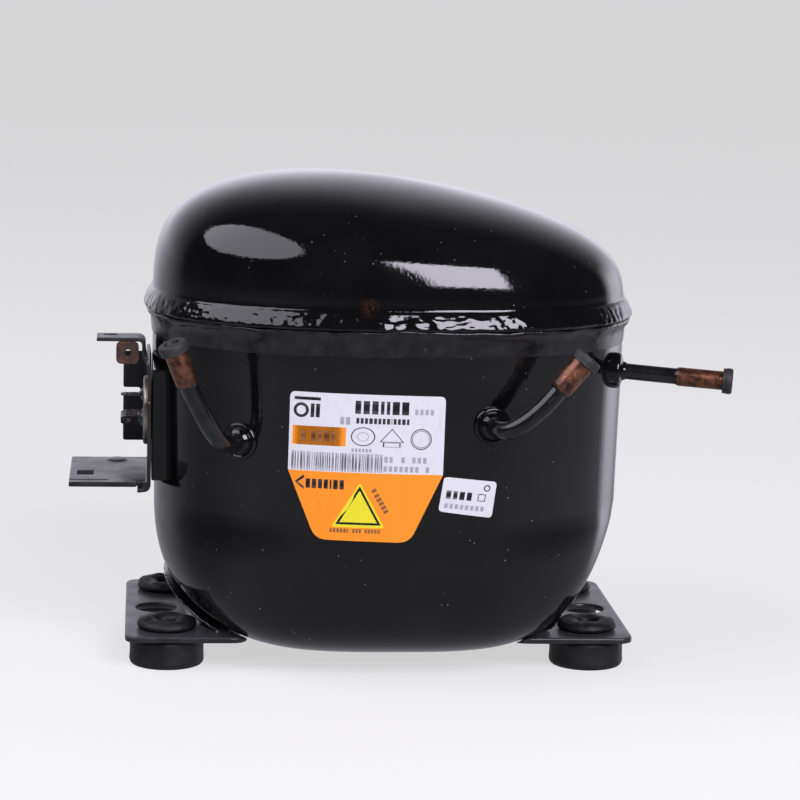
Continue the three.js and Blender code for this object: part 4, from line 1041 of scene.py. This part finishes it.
def sticker(name, outline, place, offset, thick, material):
    """A closed patch of label stock on the shell, cut along an outline given in the label's own lengths."""
    work = bmesh.new()
    ring = [work.verts.new((a, b, 0)) for a, b in outline]
    work.faces.new(ring)
    reach = np.array(outline)
    for axis in (0, 1):
        for at in np.arange(math.ceil(reach[:, axis].min()) + 0.5, reach[:, axis].max(), 2.0):
            normal = (1, 0, 0) if axis == 0 else (0, 1, 0)
            spot = (at, 0, 0) if axis == 0 else (0, at, 0)
            whole = work.verts[:] + work.edges[:] + work.faces[:]
            bmesh.ops.bisect_plane(work, geom=whole, plane_co=spot, plane_no=normal)
    work.verts.index_update()
    flat = [tuple(v.co[:2]) for v in work.verts]
    faces = [tuple(v.index for v in face.verts) for face in work.faces]
    rim = [tuple(v.index for v in edge.verts) for edge in work.edges if len(edge.link_faces) == 1]
    work.free()
    x, z = np.array([place(a, b) for a, b in flat]).T
    count = len(flat)
    points = np.concatenate([np.stack([x, front_y(x, z, level), z], 1) for level in (offset + thick, offset)])
    faces += [tuple(i + count for i in reversed(face)) for face in faces]
    faces += [(a, b, b + count, a + count) for a, b in rim]
    obj = mesh_object(name, points, faces, material, sharp=50)
    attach(obj, "shell")
    return obj


def bars(a, b, height, widths, gap=0.7):
    """A row of blocks that stands for a line of print."""
    row = []
    for width in widths:
        row.append([(a, b), (a + width, b), (a + width, b + height), (a, b + height)])
        a += width + gap
    return row


def hoop(a, b, radius, width, squash=1.0):
    """A printed ring, as short pieces."""
    pieces = []
    turns = np.linspace(0, 2 * math.pi, HOOP_PIECES + 1)
    inner = radius - width
    for start, end in zip(turns, turns[1:]):
        corners = ((radius, start), (radius, end), (inner, end), (inner, start))
        pieces.append([(a + r * math.cos(t), b + r * squash * math.sin(t)) for r, t in corners])
    return pieces


def strokes(corners, width):
    """A closed line of print through the corners."""
    outer = np.array(corners)
    inner = outer + (outer.mean(axis=0) - outer) * width
    return list(np.stack([outer, np.roll(outer, -1, axis=0), np.roll(inner, -1, axis=0), inner], 1))


def ink(name, shapes, place, material, offset):
    """All the print of one colour on a label, as one thin piece; each shape has four corners."""
    points, faces = [], []
    for shape in np.array(shapes, float):
        span = np.ptp(shape, axis=0)
        a, b, c, d = shape if span[0] >= span[1] else shape[[0, 3, 2, 1]]
        steps = np.linspace(0, 1, max(1, math.ceil(span.max() / PRINT_STEP)) + 1)
        low, far = len(points), len(points) + len(steps)
        points += [a + (b - a) * t for t in steps] + [d + (c - d) * t for t in steps]
        faces += [(low + i, low + i + 1, far + i + 1, far + i) for i in range(len(steps) - 1)]
    x, z = np.array([place(a, b) for a, b in points]).T
    solid = list(faces)
    count = len(points)
    for face in faces:
        solid.append(tuple(i + count for i in reversed(face)))
        for a, b in zip(face, face[1:] + face[:1]):
            solid.append((a, b, b + count, a + count))
    layers = [np.stack([x, front_y(x, z, level), z], 1) for level in (offset, offset - INK_THICK)]
    obj = mesh_object(name, np.concatenate(layers), solid, material, sharp=30)
    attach(obj, "shell")


def add_rating_label():
    white = soften([(0, 0, 2.2), (59.8, 0, 2.2), (60.0, WHITE_BOTTOM, 0.1), (0.2, WHITE_BOTTOM, 0.1)], 1, 6)
    orange = [(0.2, WHITE_BOTTOM, 0.1), (60.0, WHITE_BOTTOM, 0.1), (48.1, 57.9, 4.5), (11.5, 57.6, 4.5)]
    orange = soften(orange, 1, 6)
    top = sticker("rating_label_white", white, on_label, LABEL_OFFSET, LABEL_THICK, WHITE_STOCK)
    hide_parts("rating_label")
    sticker("rating_label_orange", orange, on_label, LABEL_OFFSET, LABEL_THICK, ORANGE_STOCK)
    ink("rating_print_orange", bars(1.4, 13.2, 7.4, [20.4]), on_label, ORANGE_STOCK, INK_OFFSET)

    black = bars(1.7, 1.9, 1.2, [10.0])
    black += hoop(4.4, 7.1, 2.9, 1.1) + bars(8.0, 4.4, 5.3, [1.4, 1.5], 0.6)
    black += bars(25.0, 2.5, 5.1, [2.2, 2.4, 2.4, 1.3, 1.3, 2.7, 2.7], 0.95)
    black += bars(25.6, 9.2, 2.2, [1.1, 1.1, 1.1, 1.3, 1.1, 1.1, 1.1, 1.2, 0.3, 1.1, 1.1, 1.3, 0.9], 0.55)
    black += hoop(28.4, 16.5, 4.7, 0.42, 0.78) + hoop(50.9, 16.9, 4.1, 0.35) + hoop(50.9, 16.9, 3.4, 0.2)
    black += strokes([(39.6, 13.0), (44.3, 18.4), (34.9, 18.4)], 0.12)
    black += strokes([(36.2, 18.6), (43.0, 18.6), (43.0, 20.3), (36.2, 20.3)], 0.14)
    ink("rating_print_black", black, on_label, BLACK_INK, INK_OFFSET)

    rng = np.random.default_rng(7)
    grey_print = bars(48.1, 5.2, 2.2, [1.2, 1.2, 1.2, 1.2], 0.8) + bars(19.4, 9.0, 3.0, [1.5, 1.6], 0.7)
    grey_print += bars(24.2, 21.2, 1.4, [0.9] * 6, 0.45) + hoop(28.4, 16.5, 2.3, 0.3, 0.78)
    grey_print += bars(37.0, 24.1, 2.3, [1.3, 1.2], 0.7) + bars(43.6, 24.1, 2.3, [1.3], 0.7)
    grey_print += bars(47.8, 24.1, 2.3, [1.3, 1.3, 1.3], 0.8) + bars(36.8, 27.8, 2.2, [1.3] * 7, 0.75)
    grey_print += bars(53.2, 27.8, 2.2, [1.3])
    at = 1.4
    while at < 36.0:
        width = float(rng.choice([0.22, 0.3, 0.45, 0.8]))
        grey_print += bars(at, 23.2, 7.3, [width])
        at += width + float(rng.choice([0.28, 0.4, 0.6]))
    ink("rating_print_grey", grey_print, on_label, GREY_INK, INK_OFFSET)

    brown = bars(4.6, 14.9, 4.2, [1.7], 1) + bars(8.6, 14.9, 4.2, [1.7, 1.7, 1.7, 1.6], 0.8)
    brown += bars(17.0, 53.0, 1.5, [0.9] * 5 + [0.5], 0.45) + bars(25.8, 53.0, 1.5, [0.8] * 3, 0.45)
    brown += bars(30.6, 53.0, 1.5, [0.8] * 5, 0.45)
    slope = np.array([5.9, 9.6])
    for share in (0.0, 0.2, 0.36, 0.52, 0.68, 0.84):
        corner = np.array([32.4, 37.6]) + slope * share
        brown.append([corner, corner + (1.7, -1.0), corner + (2.2, 0.1), corner + (0.5, 1.1)])
    ink("rating_print_brown", brown, on_label, BROWN_INK, SECOND_INK_OFFSET)

    dark = [[(6.3, 32.4), (6.5, 33.6), (4.1, 35.3), (3.0, 35.2)],
            [(3.0, 35.2), (4.1, 35.3), (6.5, 37.1), (6.4, 38.2)]]
    dark += bars(7.2, 33.9, 3.6, [1.6, 1.6, 1.5, 1.5, 0.6, 1.7, 1.6], 0.75)
    triangle = [(28.0, 36.0), (36.7, 51.3), (19.1, 51.3)]
    glow = soften([(28.0, 34.6, 1.5), (38.3, 52.4, 1.5), (17.6, 52.4, 1.5)], 1, 5)
    sticker("rating_label_yellow", glow, on_label, INK_OFFSET - INK_THICK, INK_THICK, YELLOW_INK)
    ink("rating_print_dark", dark + strokes(triangle, 0.17), on_label, BLACK_INK, SECOND_INK_OFFSET)


def add_small_label():
    outline = soften([(0, 0), (21.1, 0), (21.4, 14.4), (0, 13.8)], 1.6, 6)
    base = sticker("small_label_white", outline, on_small_label, LABEL_OFFSET, LABEL_THICK, WHITE_STOCK)
    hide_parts("small_label")
    print_black = bars(2.0, 5.2, 3.2, [1.9, 1.6, 2.0, 1.9], 0.9) + hoop(17.6, 2.9, 1.3, 0.45)
    print_black += strokes([(14.6, 5.4), (17.6, 5.4), (17.6, 8.3), (14.6, 8.3)], 0.2)
    ink("small_print_black", print_black, on_small_label, BLACK_INK, INK_OFFSET)
    ink("small_print_grey", bars(2.0, 10.3, 1.9, [1.3] * 8, 0.75), on_small_label, GREY_INK, INK_OFFSET)


# ---- inside the shell


def add_suspension():
    """The springs and the discharge line, between the shell and the sprung pump."""
    corners = [(sx, sy) for sy in (-1, 1) for sx in (-1, 1)]
    for i, (sx, sy) in enumerate(corners):
        turns = np.linspace(0, SPRING_COILS, 260)
        x = CRANK_X + sx * BOLT_OFFSET + SPRING_R * np.cos(turns * 2 * math.pi)
        y = sy * BOLT_OFFSET + SPRING_R * np.sin(turns * 2 * math.pi)
        z = SPRING_BOTTOM + (SPRING_TOP - SPRING_BOTTOM) * turns / SPRING_COILS
        points, tangents = even(np.stack([x, y, z], 1), 260)
        rings = tube_rings(points, tangents, np.full(len(points), SPRING_WIRE_R), 14)
        coil = mesh_object(f"suspension_coil_{i + 1}", *loft(rings), SPRING_STEEL)
        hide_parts(f"suspension_spring_{i + 1}")
        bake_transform(coil)
    points, tangents = route_points(DISCHARGE_LINE, 220)
    rings = tube_rings(points, tangents, np.full(len(points), DISCHARGE_LINE_R), 20)
    line = mesh_object("discharge_line_bent", *loft(rings), LINE_COPPER)
    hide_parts("discharge_line")
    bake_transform(line)


def finish_internals():
    """Gives every CAD node still shown its finish, and rounds its edges a little."""
    slots = {part["node"]: part["material_slot"] for part in frame["record"]["subparts"]}
    for name, obj in frame["nodes"].items():
        if not obj.hide_render:
            obj.data.materials.clear()
            obj.data.materials.append(INTERNAL_FINISHES[slots[name]])
            shade(obj.data, 32)
            bevel(obj, 0.3)


# ---- studio


def add_studio():
    bpy.ops.mesh.primitive_circle_add(vertices=96, radius=FLOOR_RADIUS, fill_type="NGON")
    floor = bpy.context.object
    floor.name = "studio_floor"
    floor.data.materials.append(floor_material())
    floor.visible_glossy = False

    world = bpy.data.worlds.new("studio")
    bpy.context.scene.world = world
    world.use_nodes = True
    tree = world.node_tree
    direction = Signal(tree, node(tree, "ShaderNodeTexCoord").outputs["Generated"])
    x, y, z = (Signal(tree, axis) for axis in node(tree, "ShaderNodeSeparateXYZ", {0: direction}).outputs)
    # bright behind the object and less so higher up, brighter still behind at the right; the table's glow
    back = y.remap(0.35, 0.97) * z.remap(0.1, 0.8, 1.0, 0.15) * z.remap(-0.2, 0.05) * 1.15
    right = x.remap(0.45, 0.8) * y.remap(0.42, 0.6) * abs(z).remap(0.16, 0.38, 1.0, 0.0) * 1.9
    ground = abs(x).remap(0.2, 0.95, 0.30, 0.45) * z.remap(0.02, -0.18) * x.remap(-1.15, -0.75)
    light = back + right + ground + 0.045
    sky = tree.nodes["Background"]
    tree.links.new(light.socket, sky.inputs["Strength"])
    sky.inputs["Color"].default_value = (*SKY_COLOUR, 1)

    add_softbox("key_right", (0.515, -1.170, 0.831), "RECTANGLE", 0.68, 0.76, 22)
    add_softbox("key_left", (-1.05, -0.40, 1.28), "ELLIPSE", 2.1, 1.15, 20)


def add_softbox(name, place, shape, width, height, power):
    light = bpy.data.lights.new(name, "AREA")
    light.shape = shape
    light.size = width
    light.size_y = height
    light.energy = power
    light.color = SOFTBOX_COLOUR
    obj = bpy.data.objects.new(name, light)
    obj.location = place
    aim = Vector(SOFTBOX_AIM) - Vector(place)
    obj.rotation_euler = aim.to_track_quat("-Z", "Y").to_euler()
    obj.visible_camera = False
    bpy.context.scene.collection.objects.link(obj)


def add_camera():
    """The photograph's view: a long lens in front, a little left and above."""
    yaw, pitch, roll = (math.radians(angle) for angle in CAMERA_TURN)
    turn = Matrix.Rotation(yaw, 3, "Z") @ Matrix.Rotation(pitch, 3, "X") @ Matrix.Rotation(roll, 3, "Y")
    right, forward, up = turn.col[0], turn.col[1], turn.col[2]
    camera = bpy.data.cameras.new("camera")
    camera.lens = CAMERA_LENS
    camera.clip_end = 60
    obj = bpy.data.objects.new("camera", camera)
    axes = Matrix((right, up, -forward)).transposed().to_4x4()
    obj.matrix_world = Matrix.Translation(CAMERA_PLACE) @ axes
    bpy.context.scene.collection.objects.link(obj)
    bpy.context.scene.camera = obj


# ---- assembly

add_camera()
add_studio()
add_lower_shell()
add_upper_shell()
add_seam_weld()
for side, sign in (("left", -1), ("right", 1)):
    add_foot_plate(side, sign)
    for end, y in (("front", -STUD_Y), ("rear", STUD_Y)):
        add_grommet(f"grommet_{end}_{side}", sign * STUD_X, y)
for name, tube in TUBES.items():
    add_tube(name, tube)
    add_collar(name, tube)
add_bracket()
add_header()
add_rating_label()
add_small_label()
add_suspension()
finish_internals()
bpy.context.scene.view_settings.view_transform = "Standard"
